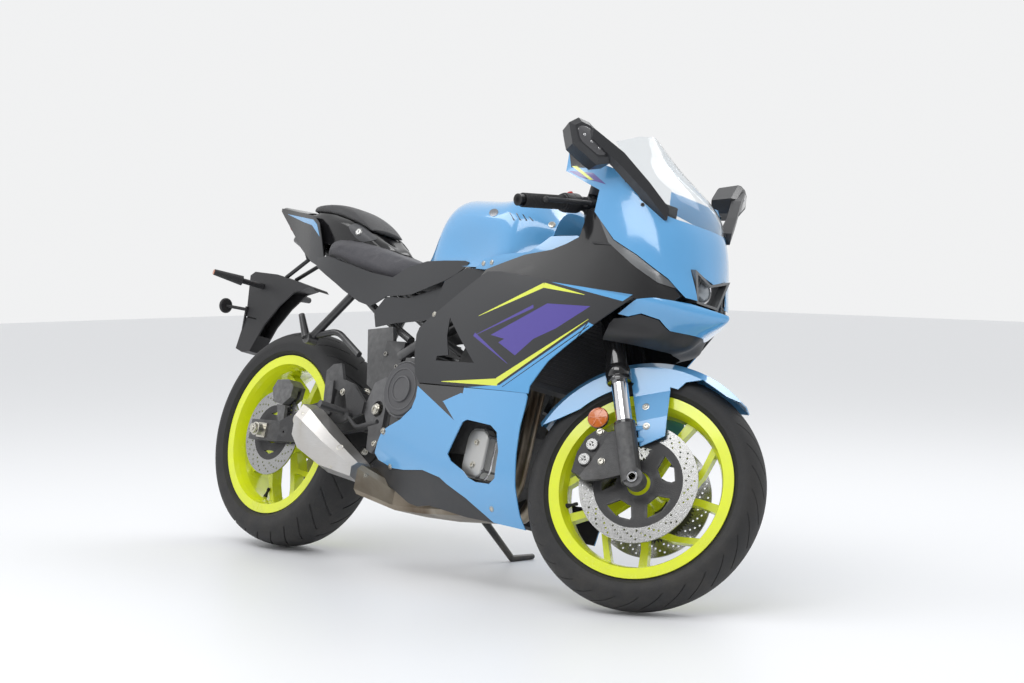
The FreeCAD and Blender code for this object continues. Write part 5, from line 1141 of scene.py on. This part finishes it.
def addSlab(form, corners, axis, layers):
    # closed form over an outline, by layers of (inset, height) along the axis
    corners = [Vector(corner) for corner in corners]
    middle = sum(corners, Vector()) / len(corners)
    axis = Vector(axis).normalized()
    count = len(corners)
    points = [corner + (middle - corner).normalized() * inset + axis * height
              for inset, height in layers for corner in corners]
    last = (len(layers) - 1) * count
    faces = [tuple(range(count))[::-1], tuple(range(last, last + count))]
    addFaces(form, points, faces + bandFaces(count, len(layers)))


def addInlay(form, outline, nodes, side=-1, rise=0.5, rings=4, plane=200, sink=1.2):
    # thin sheet that follows the skin behind an outline of (x, z) points
    middle = sum((Vector(corner) for corner in outline), Vector((0, 0))) / len(outline)
    rows = []
    depth = None
    for ring in range(rings + 1):
        share = ring / rings
        row = []
        for corner in ([middle] if ring == 0 else outline):
            point = middle + (Vector(corner) - middle) * share
            found = seen(point.x, point.y, side, nodes, plane)
            if found is None or (depth is not None and (found[0] - depth[0]).length > 260):
                return False
            depth = depth or found
            row.append((found[0], found[1]))
        rows.append(row)
    points = [rows[0][0][0] + rows[0][0][1] * rise]
    count = len(outline)
    for row in rows[1:]:
        points += [place + normal * rise for place, normal in row]
    points += [place - normal * sink for place, normal in rows[-1]]
    faces = []
    for index in range(count):
        after = (index + 1) % count
        faces.append((0, 1 + index, 1 + after))
        for ring in range(rings):
            base = 1 + ring * count
            faces.append((base + index, base + count + index, base + count + after, base + after))
    addFaces(form, points, faces)
    return True


# panel screws, where they show on the right side, and the same on the left

screws = {
    "panel": [(732, 667), (679, 256), (1096, 187)],
    "cover": [(885, 807), (916, 810)],
    "tank": [(1111, 911)],
    "panelWasher": [(7.6, -1.0), (7.4, 0.7), (6.6, 0.9), (6.4, 0.5)],
    "panelHead": 5.2,
    "rise": 1.6,
    "tankWasher": [(9.5, -1.0), (9.2, 1.0), (8.0, 1.6), (6.4, 1.6), (6.2, 0.4)],
    "tankHead": (6.0, 1.2),
}


def addPanelScrews():
    form = newForm()
    for side in (-1, 1):
        for x, z in screws["panel"] + screws["cover"]:
            found = seen(x, z, side)
            if found:
                washer(form, found, screws["panelWasher"])
                addScrew(form, found[0], found[1], screws["panelHead"], screws["rise"])
        for x, z in screws["tank"]:
            found = seen(x, z, side)
            if found:
                washer(form, found, screws["tankWasher"], 28)
                addScrew(form, found[0], found[1], *screws["tankHead"])
    addPiece("panelScrews", form, "chassis", "zincSteel")


addPanelScrews()


# engine side: clutch cover bolts and rings, pump cover

engineSide = {
    "clutch": (650, -140, 464),
    "clutchRim": [(77.5, 43), (76.5, 45.6), (74.5, 46.4), (72.5, 45.6), (71.5, 43)],
    "clutchRing": [(58, 49), (57, 51.2), (55, 51.8), (53, 51.2), (52, 49)],
    "clutchCap": [(36, 49), (35, 54.2), (33.4, 55.0), (31, 54.6), (30, 52.4), (0, 52.4)],
    "alternator": (800, 0, 370),
    "alternatorRim": [(80.5, 154), (79, 157.6), (76, 158.2), (74, 157), (73, 154)],
    "alternatorCap": [(40, 158), (39, 161), (37, 161.6), (35, 160.6), (34, 158.6), (0, 158.6)],
    "clutchBolts": 86,
    "alternatorBolts": 76,
    "boltAngle": 20,
    "cases": ["engine_covers", "engine_case"],
    "caseBolts": [(570, 552), (624, 520), (552, 351), (560, 452), (700, 352)],
    "pump": [(918, 262), (974, 258), (990, 280), (992, 370), (972, 388), (925, 386), (912, 366), (908, 284)],
    "pumpBolts": [(952, 350), (952, 292)],
}


def addEngineSide():
    cover = newForm()
    clutch = Vector(engineSide["clutch"])
    right = -acrossY
    addLathe(cover, clutch, right, engineSide["clutchRim"], 64)
    addLathe(cover, clutch, right, engineSide["clutchRing"], 56)
    addLathe(cover, clutch, right, engineSide["clutchCap"], 48)
    left = acrossY
    shell = Vector(engineSide["alternator"])
    addLathe(cover, shell, left, engineSide["alternatorRim"], 64)
    addLathe(cover, shell, left, engineSide["alternatorCap"], 48)
    addPiece("coverRings", cover, "chassis", "coverGrey")
    bolts = newForm()
    cases = engineSide["cases"]
    for number in range(6):
        ray = spoke(math.radians(engineSide["boltAngle"] + 60 * number))
        place = clutch + ray * engineSide["clutchBolts"]
        found = landing(place - acrossY * 200, acrossY, cases)
        if found:
            addHexNut(bolts, found[0], right, 5.5, 5.0)
        place = shell + ray * engineSide["alternatorBolts"]
        found = landing(place + acrossY * 300, -acrossY, cases)
        if found:
            addHexNut(bolts, found[0], left, 5.0, 4.0)
    for x, z in engineSide["caseBolts"]:
        found = seen(x, z, -1, cases + ["main_frame"])
        if found:
            addScrew(bolts, found[0], found[1], 6.5, 4.5)
    addPiece("coverBolts", bolts, "chassis", "dullSteel")
    pump = newForm()
    outline = roundOff([(x, -98, z) for x, z in engineSide["pump"]], 22, 6)
    addSlab(pump, outline, right, [(-1.2, 0), (-1.2, 52), (-0.2, 57), (2.0, 61), (5.0, 63.4), (9.0, 64.0)])
    addPiece("pumpCover", pump, "chassis", "pumpSilver", smooth=50)
    seal = newForm()
    addSlab(seal, outline, right, [(-2.6, 34), (-2.6, 39), (-1.0, 39), (-1.0, 34)])
    addPiece("pumpBand", seal, "chassis", "chrome")
    heads = newForm()
    for x, z in engineSide["pumpBolts"]:
        addLathe(heads, (x, -162, z), right, [(10, -1), (9.6, 0.8), (8.4, 1.0)], 24)
        addScrew(heads, (x, -162, z), right, 7.0, 4.6)
    addPiece("pumpBolts", heads, "chassis", "zincSteel")


addEngineSide()
print("stage: panel screws and engine covers")


# fork legs, calipers, fender and reflectors

forkTrim = {
    "side": 102,
    "offset": 31,
    "caps": [(106, -53), (73, -77)],
    "capSide": 113.3,
    "capShape": [(14.6, 0), (14.6, 1.0), (13.6, 1.8), (6.4, 1.8), (6.0, 0.9), (0, 0.9)],
    "capHoles": 4.2,
    "guard": [(29.5, 253), (31.2, 255), (31.2, 262), (30.2, 264), (30.2, 266), (31.2, 268), (31.2, 283),
              (29, 290), (27, 296)],
    "legTop": [(20.5, 770), (20.5, 774), (19, 775.5), (14, 775.5), (13.4, 773.6), (0, 773.6)],
    "axleSide": 124,
    "axleRing": [(8.7, -3), (8.7, 1.4), (9.4, 2.0), (12.4, 2.0), (13.4, 0.8), (13.4, -2)],
    "caliper": {"spots": [(58, -36), (134, -30)], "nodes": ["front_calipers", "fork_feet"],
                "washer": [(9.5, -1), (9.3, 1), (8, 1.4)], "sides": 24, "head": (7.0, 5.0)},
    "fender": {"spots": [(134, 79.5), (187, 83)], "nodes": ["front_fender"],
               "washer": [(9.2, -1), (9.0, 0.8), (8.0, 1.2), (6.5, 1.2)], "sides": 28, "head": (5.6, 3.0)},
    "reflector": (1261, 105, 431),
    "reflectorRadius": 26,
    "stay": (118, -34, 98),
    "stemTop": [(19, 752), (19, 757), (17, 758.5), (10, 758.5), (9.5, 755), (0, 755)],
}


def addForkTrim():
    black, bright, chromed, amber, nuts = (newForm() for number in range(5))
    for side in (-1, 1):
        leg = onFork(0, forkTrim["offset"], side * forkTrim["side"])
        out = acrossY * side
        addLathe(black, leg, steerUp, forkTrim["guard"], 48)
        addLathe(black, leg, steerUp, [(26.5, 140), (26.5, 147), (24, 149), (20.8, 149)], 48)
        addLathe(nuts, leg, steerUp, forkTrim["legTop"], 32)
        addLathe(nuts, leg, steerUp, [(9, 773), (9, 779), (8, 780), (0, 780)], 6)
        hub = Vector((frontHub.x, side * forkTrim["axleSide"], frontHub.z))
        addLathe(chromed, hub, out, forkTrim["axleRing"], 32)
        for up, fore in forkTrim["caps"]:
            place = onFork(up, fore, side * (forkTrim["capSide"] - 0.4))
            addLathe(bright, place, out, forkTrim["capShape"], 36)
            for number in range(3):
                hole = place + spoke(math.radians(90 + 120 * number)) * forkTrim["capHoles"]
                addLathe(black, hole, out, [(2.4, 1.0), (2.2, 2.1), (0, 2.1)], 12)
        for kind in ("caliper", "fender"):
            values = forkTrim[kind]
            for up, fore in values["spots"]:
                found = landing(onFork(up, fore, side * 220), -out, values["nodes"], fromSteer)
                if found:
                    washer(nuts, found, values["washer"], values["sides"])
                    addScrew(nuts, found[0], found[1], *values["head"])
        spot = Vector(forkTrim["reflector"])
        spot.y *= side
        radius = forkTrim["reflectorRadius"]
        addLathe(black, spot, out, [(0, -11), (radius * 0.5, -11), (radius + 0.6, -7), (radius + 0.6, -0.5),
                                    (radius - 0.8, 0.2)], 48)
        addLathe(amber, spot, out, [(radius - 0.4, -3), (radius - 0.4, 0.6), (radius - 2.2, 2.6),
                                    (radius * 0.6, 4.2), (0, 5.0)], 48)
        for number in range(6):
            ray = spoke(math.radians(15 + 60 * number))
            rib = [spot + out * 3.6 + ray * reach + ray.cross(out) * wide
                   for reach, wide in ((2, -0.7), (radius - 4, -0.7), (radius - 4, 0.7), (2, 0.7))]
            addPrism(amber, rib, out * 1.6, 0.2)
        stay = onFork(*forkTrim["stay"][:2], side * forkTrim["stay"][2])
        arm = stay - (spot - out * 9)
        addLathe(black, spot - out * 9, arm, [(5, -2), (5, arm.length), (0, arm.length)], 12)
        addRod(black, spot - out * 13, out, 8, 4)
    stem = newForm()
    addLathe(stem, onFork(0, 0), steerUp, forkTrim["stemTop"], 6)
    for name, form, finish, slot in (("forkSeals", black, "glossBlack", "fork_upper"),
                                     ("forkNuts", nuts, "zincSteel", "axle_steel"),
                                     ("axleRings", chromed, "chrome", "axle_steel"),
                                     ("caliperCaps", bright, "steelDisc", "caliper"),
                                     ("amberReflectors", amber, "amberLens", "lamp"),
                                     ("stemNut", stem, "zincSteel", "axle_steel")):
        addPiece(name, form, "steering", finish)


addForkTrim()


# bars: rubber ribs, bar ends, switches and lever trim

bars = {
    "clamp": (698, 31, 102),
    "inner": (-63.4, -103, -5.5),
    "outer": (-125.4, -232, -66.5),
    "radius": 17,
    "ribPitch": 6.0,
    "ribDepth": 0.9,
    "end": 16,
    "switches": [(0, -8), (50, 4), (95, -6)],
}


def addBarTrim():
    rubber, metal, red, gold, black = (newForm() for number in range(5))
    for side in (-1, 1):
        clamp = onFork(*bars["clamp"][:2], side * bars["clamp"][2])
        inner, outer = (Vector((x, -side * y, z)) + clamp for x, y, z in (bars["inner"], bars["outer"]))
        along = (outer - inner).normalized()
        reach = (outer - inner).length - bars["end"]
        low = bars["radius"] + 0.2
        high = low + bars["ribDepth"]
        profile = [(low, 7)]
        spot = 9.0
        while spot + bars["ribPitch"] < reach - 3:
            profile += [(low, spot), (high, spot + 0.8), (high, spot + bars["ribPitch"] - 2.0),
                        (low, spot + bars["ribPitch"] - 1.2)]
            spot += bars["ribPitch"]
        profile += [(high, reach - 3), (high, reach - 0.6), (low - 2, reach)]
        addLathe(rubber, inner, along, profile, 32)
        addLathe(metal, inner, along, [(15.3, reach - 0.5), (15.3, reach + 12), (15.1, reach + 16.1),
                                       (5.0, reach + 16.1), (4.4, reach + 16.05), (0, reach + 16.05)], 32)
        box = inner - along * 24
        addLathe(black, box, along, [(24.5, -19), (25.0, -17), (25.0, -1.4), (24.4, -0.6), (24.4, 0.6),
                                     (25.0, 1.4), (25.0, 19), (24.5, 21)], 40)
        rise = (steerUp - along * steerUp.dot(along)).normalized()
        back = along.cross(rise) * (1 if along.cross(rise).x < 0 else -1)
        for number, (turned, shift) in enumerate(bars["switches"]):
            angle = math.radians(turned)
            out = rise * math.cos(angle) + back * math.sin(angle)
            spot = box + along * shift
            target = red if number == 0 and side < 0 else black
            addLathe(target, spot, out, [(7.5, 22), (7.5, 28.5), (6.2, 30), (0, 30)], 20)
        perch = inner - along * 58
        addScrew(gold, perch + rise * 17.6, rise, 5.0, 3.0)
        knuckle = inner - along * 52 + steerFore * 34 - steerUp * 6
        addLathe(gold, knuckle - along * 4, along, [(7.5, -34), (7.5, -36), (5, -37), (0, -37)], 6)
    for name, form, finish in (("gripRibs", rubber, "gripRubber"), ("barEnds", metal, "fastenerBlack"),
                               ("switchBoxes", black, "mouldedBlack"), ("stopSwitch", red, "redPlastic"),
                               ("hoseBolts", gold, "goldBolt")):
        addPiece(name, form, "steering", finish)


addBarTrim()
print("stage: fork and bars")

# tank: slots, round place and filler ring

tankTrim = {
    "slots": [((943, 943), (965, 921)), ((969, 941), (989, 921)), ((994, 938), (1012, 920)),
              ((1019, 932), (1035, 920))],
    "slotWidth": 7.5,
    "round": (885, 942),
    "roundSize": (17, 13),
    "nodes": ["fuel_tank", "tank_covers"],
    "cap": (861, 0, 1021),
    "capBolts": 38,
    "capRing": [(25, -1), (25, 0.8), (24, 1.4), (22.6, 1.4), (22.2, 0.4)],
}


def addTankTrim():
    slots = newForm()
    plates = newForm()
    for side in (-1, 1):
        for (highX, highZ), (lowX, lowZ) in tankTrim["slots"]:
            width = tankTrim["slotWidth"]
            outline = [(highX, highZ), (highX + width * 0.7, highZ - 1), (lowX + width, lowZ),
                       (lowX, lowZ + 1)]
            addInlay(slots, outline, tankTrim["nodes"], side, 0.35, 2)
        around = []
        for number in range(24):
            angle = 2 * math.pi * number / 24
            around.append((tankTrim["round"][0] + math.cos(angle) * tankTrim["roundSize"][0],
                           tankTrim["round"][1] + math.sin(angle) * tankTrim["roundSize"][1] * 0.78))
        addInlay(plates, around, tankTrim["nodes"], side, 0.9, 4)
    addPiece("tankSlots", slots, "chassis", "glossBlack")
    addPiece("tankPlates", plates, "chassis", "badgeSteel", smooth=50)
    bolts = newForm()
    middle = Vector(tankTrim["cap"])
    found = landing(middle + Vector((0, 0, 200)), (0, 0, -1), ["filler_cap"])
    up = found[1] if found else Vector((0, 0, 1))
    for number in range(6):
        angle = math.radians(60 * number + 15)
        place = middle + Vector((math.cos(angle), math.sin(angle), 0)) * tankTrim["capBolts"]
        spot = landing(place + Vector((0, 0, 200)), (0, 0, -1), ["filler_cap"])
        if spot:
            addScrew(bolts, spot[0], spot[1], 4.2, 2.4)
    if found:
        addLathe(bolts, found[0], up, tankTrim["capRing"], 40)
        addLathe(bolts, found[0] + Vector((0, 0, 0.4)), up, [(8, -1), (8, 1.6), (7.2, 2.2), (0, 2.2)], 24)
    addPiece("fillerBolts", bolts, "chassis", "zincSteel")


addTankTrim()


# hump key plate and lock, tail and ear stripes

rearTrim = {
    "keyPlate": [(292, 903), (322, 910), (352, 906), (412, 878), (436, 866), (400, 860), (375, 858),
                 (348, 864), (310, 886)],
    "lock": (346, 886),
    "tailStripe": [[(-2, 937), (127, 921), (125, 905), (82, 914)], [(127, 921), (148, 907), (125, 905)],
                   [(148, 907), (172, 872), (125, 905)]],
    "earBlack": [(1122, 1100), (1156, 1087), (1197, 1057), (1140, 1059)],
    "earPurple": [[(1130, 1051), (1221, 1044), (1275, 1014), (1176, 1034)],
                  [(1221, 1040), (1275, 1014), (1345, 959), (1242, 1005)]],
    "earYellow": [[(1142, 1062), (1160, 1062), (1228, 1026), (1214, 1026)]],
}


def flatRound(outline, radius):
    return [(point.x, point.y) for point in roundOff([Vector(corner) for corner in outline], radius, 4)]


def dense(outline, step=12):
    # the same outline with points added along its long sides
    points = []
    for start, end in zip(outline, outline[1:] + outline[:1]):
        count = max(1, int((Vector(end) - Vector(start)).length / step))
        points += [tuple(Vector(start) + (Vector(end) - Vector(start)) * number / count)
                   for number in range(count)]
    return points


def addRearTrim():
    plates = newForm()
    locks = newForm()
    hump = ["tail_cowl"]
    for side in (-1, 1):
        outline = dense(flatRound(rearTrim["keyPlate"], 22), 10)
        addInlay(plates, outline, hump, side, 1.6, 7)
        found = seen(*rearTrim["lock"], side, hump)
        if found and side < 0:
            washer(locks, found, [(11.5, 0.5), (11.2, 2.6), (10, 3.0), (8.8, 2.2)], 36)
            washer(locks, found, [(8.6, 1), (8.6, 3.2), (7.8, 4.0), (0, 4.0)], 36)
    addPiece("keyPlates", plates, "chassis", "plateGrey", smooth=50)
    addPiece("seatLock", locks, "chassis", "steelDisc")
    slot = newForm()
    found = seen(*rearTrim["lock"], -1, hump)
    if found:
        axis, across, rise = basis(found[1])
        corners = [found[0] + axis * 4.2 + across * x + rise * y
                   for x, y in ((-0.8, -4), (0.8, -4), (0.8, 4), (-0.8, 4))]
        addPrism(slot, corners, axis * 0.6, 0.1)
        addPiece("keySlot", slot, "chassis", "glossBlack")
    for name, finish, areas, node, rise in (
            ("tailStripes", "bluePaint", rearTrim["tailStripe"], "tail_cowl", 0.35),
            ("earPatches", "glossBlack", [rearTrim["earBlack"]], "nose_cowl", 0.35),
            ("earStripes", "purplePaint", rearTrim["earPurple"], "nose_cowl", 0.35),
            ("earFlashes", "yellowPaint", rearTrim["earYellow"], "nose_cowl", 0.55)):
        form = newForm()
        for side in (-1, 1):
            for area in areas:
                addInlay(form, dense(area, 14), [node], side, rise, 5)
        if form["faces"]:
            addPiece(name, form, "chassis", finish, smooth=50)


addRearTrim()
print("stage: tank, hump and stripes")


# mirrors: signal lens in front, glass behind

mirrors = {
    "front": (1275, -276, 1100),
    "outward": (-66, -117, 53),
    "facing": (1, 0, 0),
    "face": [(-66, -20), (-40, -44), (38, -34), (72, 8), (58, 34), (30, 40), (-60, 18)],
    "lens": [(-58, -15), (-36, -37), (34, -28), (62, 6), (50, 25), (22, 30), (-52, 10)],
    "lamps": [(-28, -12), (2, -8), (32, -3)],
    "outlines": [(0.84, 0.82, -52.2), (0.93, 0.91, -50), (0.85, 0.83, -50)],  # glass, rim outside, rim inside
    "rimDepth": 4.0,
}


def addMirrors():
    lenses, lamps, glasses, rims = (newForm() for number in range(4))
    for side in (-1, 1):
        outward = Vector(mirrors["outward"]).normalized()
        facing = Vector(mirrors["facing"])
        facing = (facing - outward * facing.dot(outward)).normalized()
        upward = facing.cross(outward)
        if upward.z < 0:
            upward.negate()
        centre = Vector(mirrors["front"])
        if side > 0:
            for vector in (outward, facing, upward, centre):
                vector.y *= -1

        def at(a, b, depth):
            return centre + outward * a + upward * b + facing * depth

        cover = roundOff([at(0.8 * a, 0.7 * b, 11.0) for a, b in mirrors["lens"]], 9, 4)
        addSlab(lenses, cover, facing, [(0, 0), (0, 1.6), (2.0, 2.6)])
        for a, b in mirrors["lamps"]:
            lamp = at(0.8 * a, 0.7 * b, 13.2)
            addLathe(lamps, lamp, facing, [(3.6, 0), (3.4, 0.8), (2.2, 1.4), (0, 1.6)], 16)
        glass, rim, inner = (roundOff([at(wide * a, tall * b, depth) for a, b in mirrors["face"]], 14, 5)
                             for wide, tall, depth in mirrors["outlines"])
        addSlab(glasses, glass, -facing, [(0, 0), (0, 1.0), (1.2, 1.3)])
        back = facing * mirrors["rimDepth"]
        points = rim + [point - back for point in rim] + [point - back for point in inner] + inner
        addFaces(rims, points, bandFaces(len(rim), 4, ring=True))
    for name, form, finish, slot in (("mirrorLenses", lenses, "smokeLens", "lamp"),
                                     ("mirrorLamps", lamps, "chrome", "lamp"),
                                     ("mirrorGlasses", glasses, "mirrorGlass", "controls"),
                                     ("mirrorRims", rims, "mouldedBlack", "controls")):
        addPiece(name, form, "chassis", finish)


addMirrors()


# lights: projector, tail lens, signals and rear reflector

lights = {
    "projector": (1474, 0, 795),
    "projectorRadius": 25,
    "domeHeight": 11,
    "tail": [(-266, 12, 981, 993), (-205, 30, 935, 963), (-168, 37, 918, 946)],
    "tailProud": 0.8,
    "signalRoot": (-302, 98, 757),
    "signalTip": (-330, 183, 762),
    "signalShift": (-4.2, 0, 0),
    "reflector": (-396.6, -72, 683),
}


def addLights():
    ring = newForm()
    place = landing(Vector(lights["projector"]) + Vector((120, 0, 0)), (-1, 0, 0), ["headlamps"])
    spot = place[0] if place else Vector(lights["projector"])
    ahead = Vector((1, 0, 0))
    radius = lights["projectorRadius"]
    addLathe(ring, spot, ahead, [(radius + 4, -4), (radius + 4, 2), (radius + 2.5, 3), (radius, 1.6),
                                 (radius, -2)], 48)
    addPiece("projectorRing", ring, "chassis", "chrome")
    dome = newForm()
    profile = []
    for step in range(7):
        angle = math.radians(15 * step)
        profile.append((radius * math.cos(angle) if step < 6 else 0, lights["domeHeight"] * math.sin(angle)))
    addLathe(dome, spot, ahead, profile, 48)
    addPiece("projectorLens", dome, "chassis", "lensGlass")
    tail = newForm()
    points = []
    for number, (x, side, low, high) in enumerate(lights["tail"]):
        proud = 0 if number else lights["tailProud"]
        points += [Vector((x - proud, y, z)) for y, z in ((-side - 0.8, low - 0.8), (-side - 0.8, high + 0.2),
                                                          (side + 0.8, high + 0.2), (side + 0.8, low - 0.8))]
    addFaces(tail, points, [(0, 1, 2, 3)] + bandFaces(4, len(lights["tail"])))
    addPiece("tailLens", tail, "chassis", "redLens", smooth=20)
    signals = newForm()
    for side in (-1, 1):
        root, tip = (Vector((x, side * y, z)) for x, y, z in (lights["signalRoot"], lights["signalTip"]))
        run = tip - root
        reach = run.length
        profile = []
        for step in range(9):
            share = 0.42 + 0.58 * step / 8
            profile.append((13.5 - 6 * share, reach * share))
        profile = [(0, profile[0][1])] + profile + [(0, reach - 1.0)]
        addLathe(signals, root + Vector(lights["signalShift"]), run, profile, 32)
    addPiece("signalLenses", signals, "chassis", "amberLens")
    back = newForm()
    spot = Vector(lights["reflector"])
    out = Vector((-1, 0, 0))
    addLathe(back, spot, out, [(0, -6), (20, -6), (23, -3), (23, 1), (21.6, 1.6)], 40)
    addPiece("reflectorCup", back, "chassis", "mouldedBlack")
    red = newForm()
    addLathe(red, spot, out, [(21.8, -2), (21.8, 1.0), (20, 2.6), (12, 3.6), (0, 4.2)], 40)
    addPiece("rearReflector", red, "chassis", "redLens")


addLights()


# rear end: axle nuts, sprocket nuts, hanger bolts and silencer rings

rearEnd = {
    "axleSide": 156,
    "sprocketBolts": 6,
    "sprocketRing": 54,
    "hangerBolts": [(419, 439), (596, 310), (565, 286), (623, 346), (519, 447)],
    "pivotBolt": (573, 401),
    "silencerRings": [(263, 369), (262, 339), (434, 233)],
    "silencerHole": (456, 289),
    "clampNut": (588, 224),
    "outlet": (250, -200, 352),
    "outletFrom": (345, -200, 332),
    "outletRadius": 17,
    "hangerWasher": [(9.6, -1), (9.4, 1), (8.2, 1.6)],
    "pivotWasher": [(14.5, -3), (14.5, 2.2), (13.2, 3.4), (10.5, 3.4)],
    "holeRing": [(10, -1), (9.6, 0.5), (8.4, 0.8), (7.2, 0.5), (7, -0.6)],
}


def addRearEnd():
    nuts = newForm()
    for side in (-1, 1):
        out = acrossY * side
        hub = rearHub + out * rearEnd["axleSide"]
        addLathe(nuts, hub, out, [(19, -1), (19, 1.2), (17.6, 2.0), (15, 2.0)], 36)
        addLathe(nuts, hub, out, [(15, 1), (15, 9.4), (13.6, 11), (9, 11), (8.2, 9.6), (0, 9.6)], 6)
        addLathe(nuts, hub, out, [(7.6, 9), (7.6, 13), (6.6, 14), (0, 14)], 24)
        for x, z in rearEnd["hangerBolts"]:
            found = seen(x, z, side)
            if found:
                washer(nuts, found, rearEnd["hangerWasher"])
                addScrew(nuts, found[0], found[1], 7.2, 4.4)
        found = seen(*rearEnd["pivotBolt"], side)
        if found:
            addLathe(nuts, found[0], out, rearEnd["pivotWasher"], 36)
            addScrew(nuts, found[0] + out * 2, out, 10.6, 4.0)
    for number in range(rearEnd["sprocketBolts"]):
        angle = 2 * math.pi * number / rearEnd["sprocketBolts"]
        place = rearHub + spoke(angle) * rearEnd["sprocketRing"]
        found = landing(place + acrossY * 200, -acrossY, ["rear_sprocket"])
        if found:
            addHexNut(nuts, found[0], acrossY, 7.0, 6.0)
    addPiece("rearBolts", nuts, "chassis", "zincSteel")
    rings = newForm()
    for x, z in rearEnd["silencerRings"]:
        found = seen(x, z, -1, ["silencer"])
        if found:
            addScrew(rings, found[0], found[1], 4.6, 0.8)
    found = seen(*rearEnd["silencerHole"], -1, ["silencer"])
    if found:
        washer(rings, found, rearEnd["holeRing"], 32)
    found = seen(*rearEnd["clampNut"], -1)
    if found:
        addHexNut(rings, found[0], found[1], 6.0, 5.0)
    way = Vector(rearEnd["outlet"]) - Vector(rearEnd["outletFrom"])
    radius = rearEnd["outletRadius"]
    addLathe(rings, rearEnd["outlet"], way,
             [(radius + 0.2, -14), (radius + 2.4, -13), (radius + 2.4, -1), (radius + 0.8, 0.8),
              (radius - 1.4, 0.2), (radius - 1.6, -8)], 40)
    addPiece("silencerTrim", rings, "chassis", "zincSteel")


addRearEnd()


# tyre valves

valves = {
    "angles": {"front": 205, "rear": 250},
    "from": 150,
    "side": -22,
    "profile": [(6.5, 0), (6.0, 6), (4.0, 12), (3.6, 20), (4.4, 20.5), (4.4, 29), (3.4, 30), (0, 30)],
}


def addValves():
    for wheel, angle in valves["angles"].items():
        form = newForm()
        ray = spoke(math.radians(angle))
        body = wheel + "_wheel"
        start = hubPlace(wheel, ray * valves["from"] + acrossY * valves["side"])
        found = landing(start, ray, [wheel + "_rim"], frameOf[body])
        if found:
            addLathe(form, found[0] + ray * 2, -ray, valves["profile"], 20)
            addPiece(wheel + "Valve", form, body, "gripRubber")


addValves()
print("stage: mirrors, lights and rear end")


# instrument display and windscreen screws

dash = {
    "side": 62,
    "low": (1198, 985),
    "high": (1232, 1022),
    "look": (160, 0, -90),
    "screenScrews": [(1343, 1023), (1412, 962)],
}


def addDash():
    form = newForm()
    look = Vector(dash["look"])
    spots = [landing(Vector((x, 0, z)) - look, look, ["instrument"]) for x, z in (dash["low"], dash["high"])]
    if all(spots):
        first, normal, _ = spots[0]
        second = spots[1][0]
        half = acrossY * dash["side"]
        corners = [first - half, first + half, second + half, second - half]
        addSlab(form, roundOff(corners, 7, 5), normal, [(0, -1), (0, 1.4), (1.0, 2.0)])
        addPiece("dashDisplay", form, "chassis", "displayGlass")
    heads = newForm()
    for side in (-1, 1):
        for x, z in dash["screenScrews"]:
            found = seen(x, z, side, ["nose_cowl", "windscreen"])
            if found:
                addScrew(heads, found[0], found[1], 5.0, 2.2)
    addPiece("screenScrews", heads, "chassis", "fastenerBlack")


addDash()
print("stage: dash")

bpy.context.scene.view_settings.view_transform = "Standard"
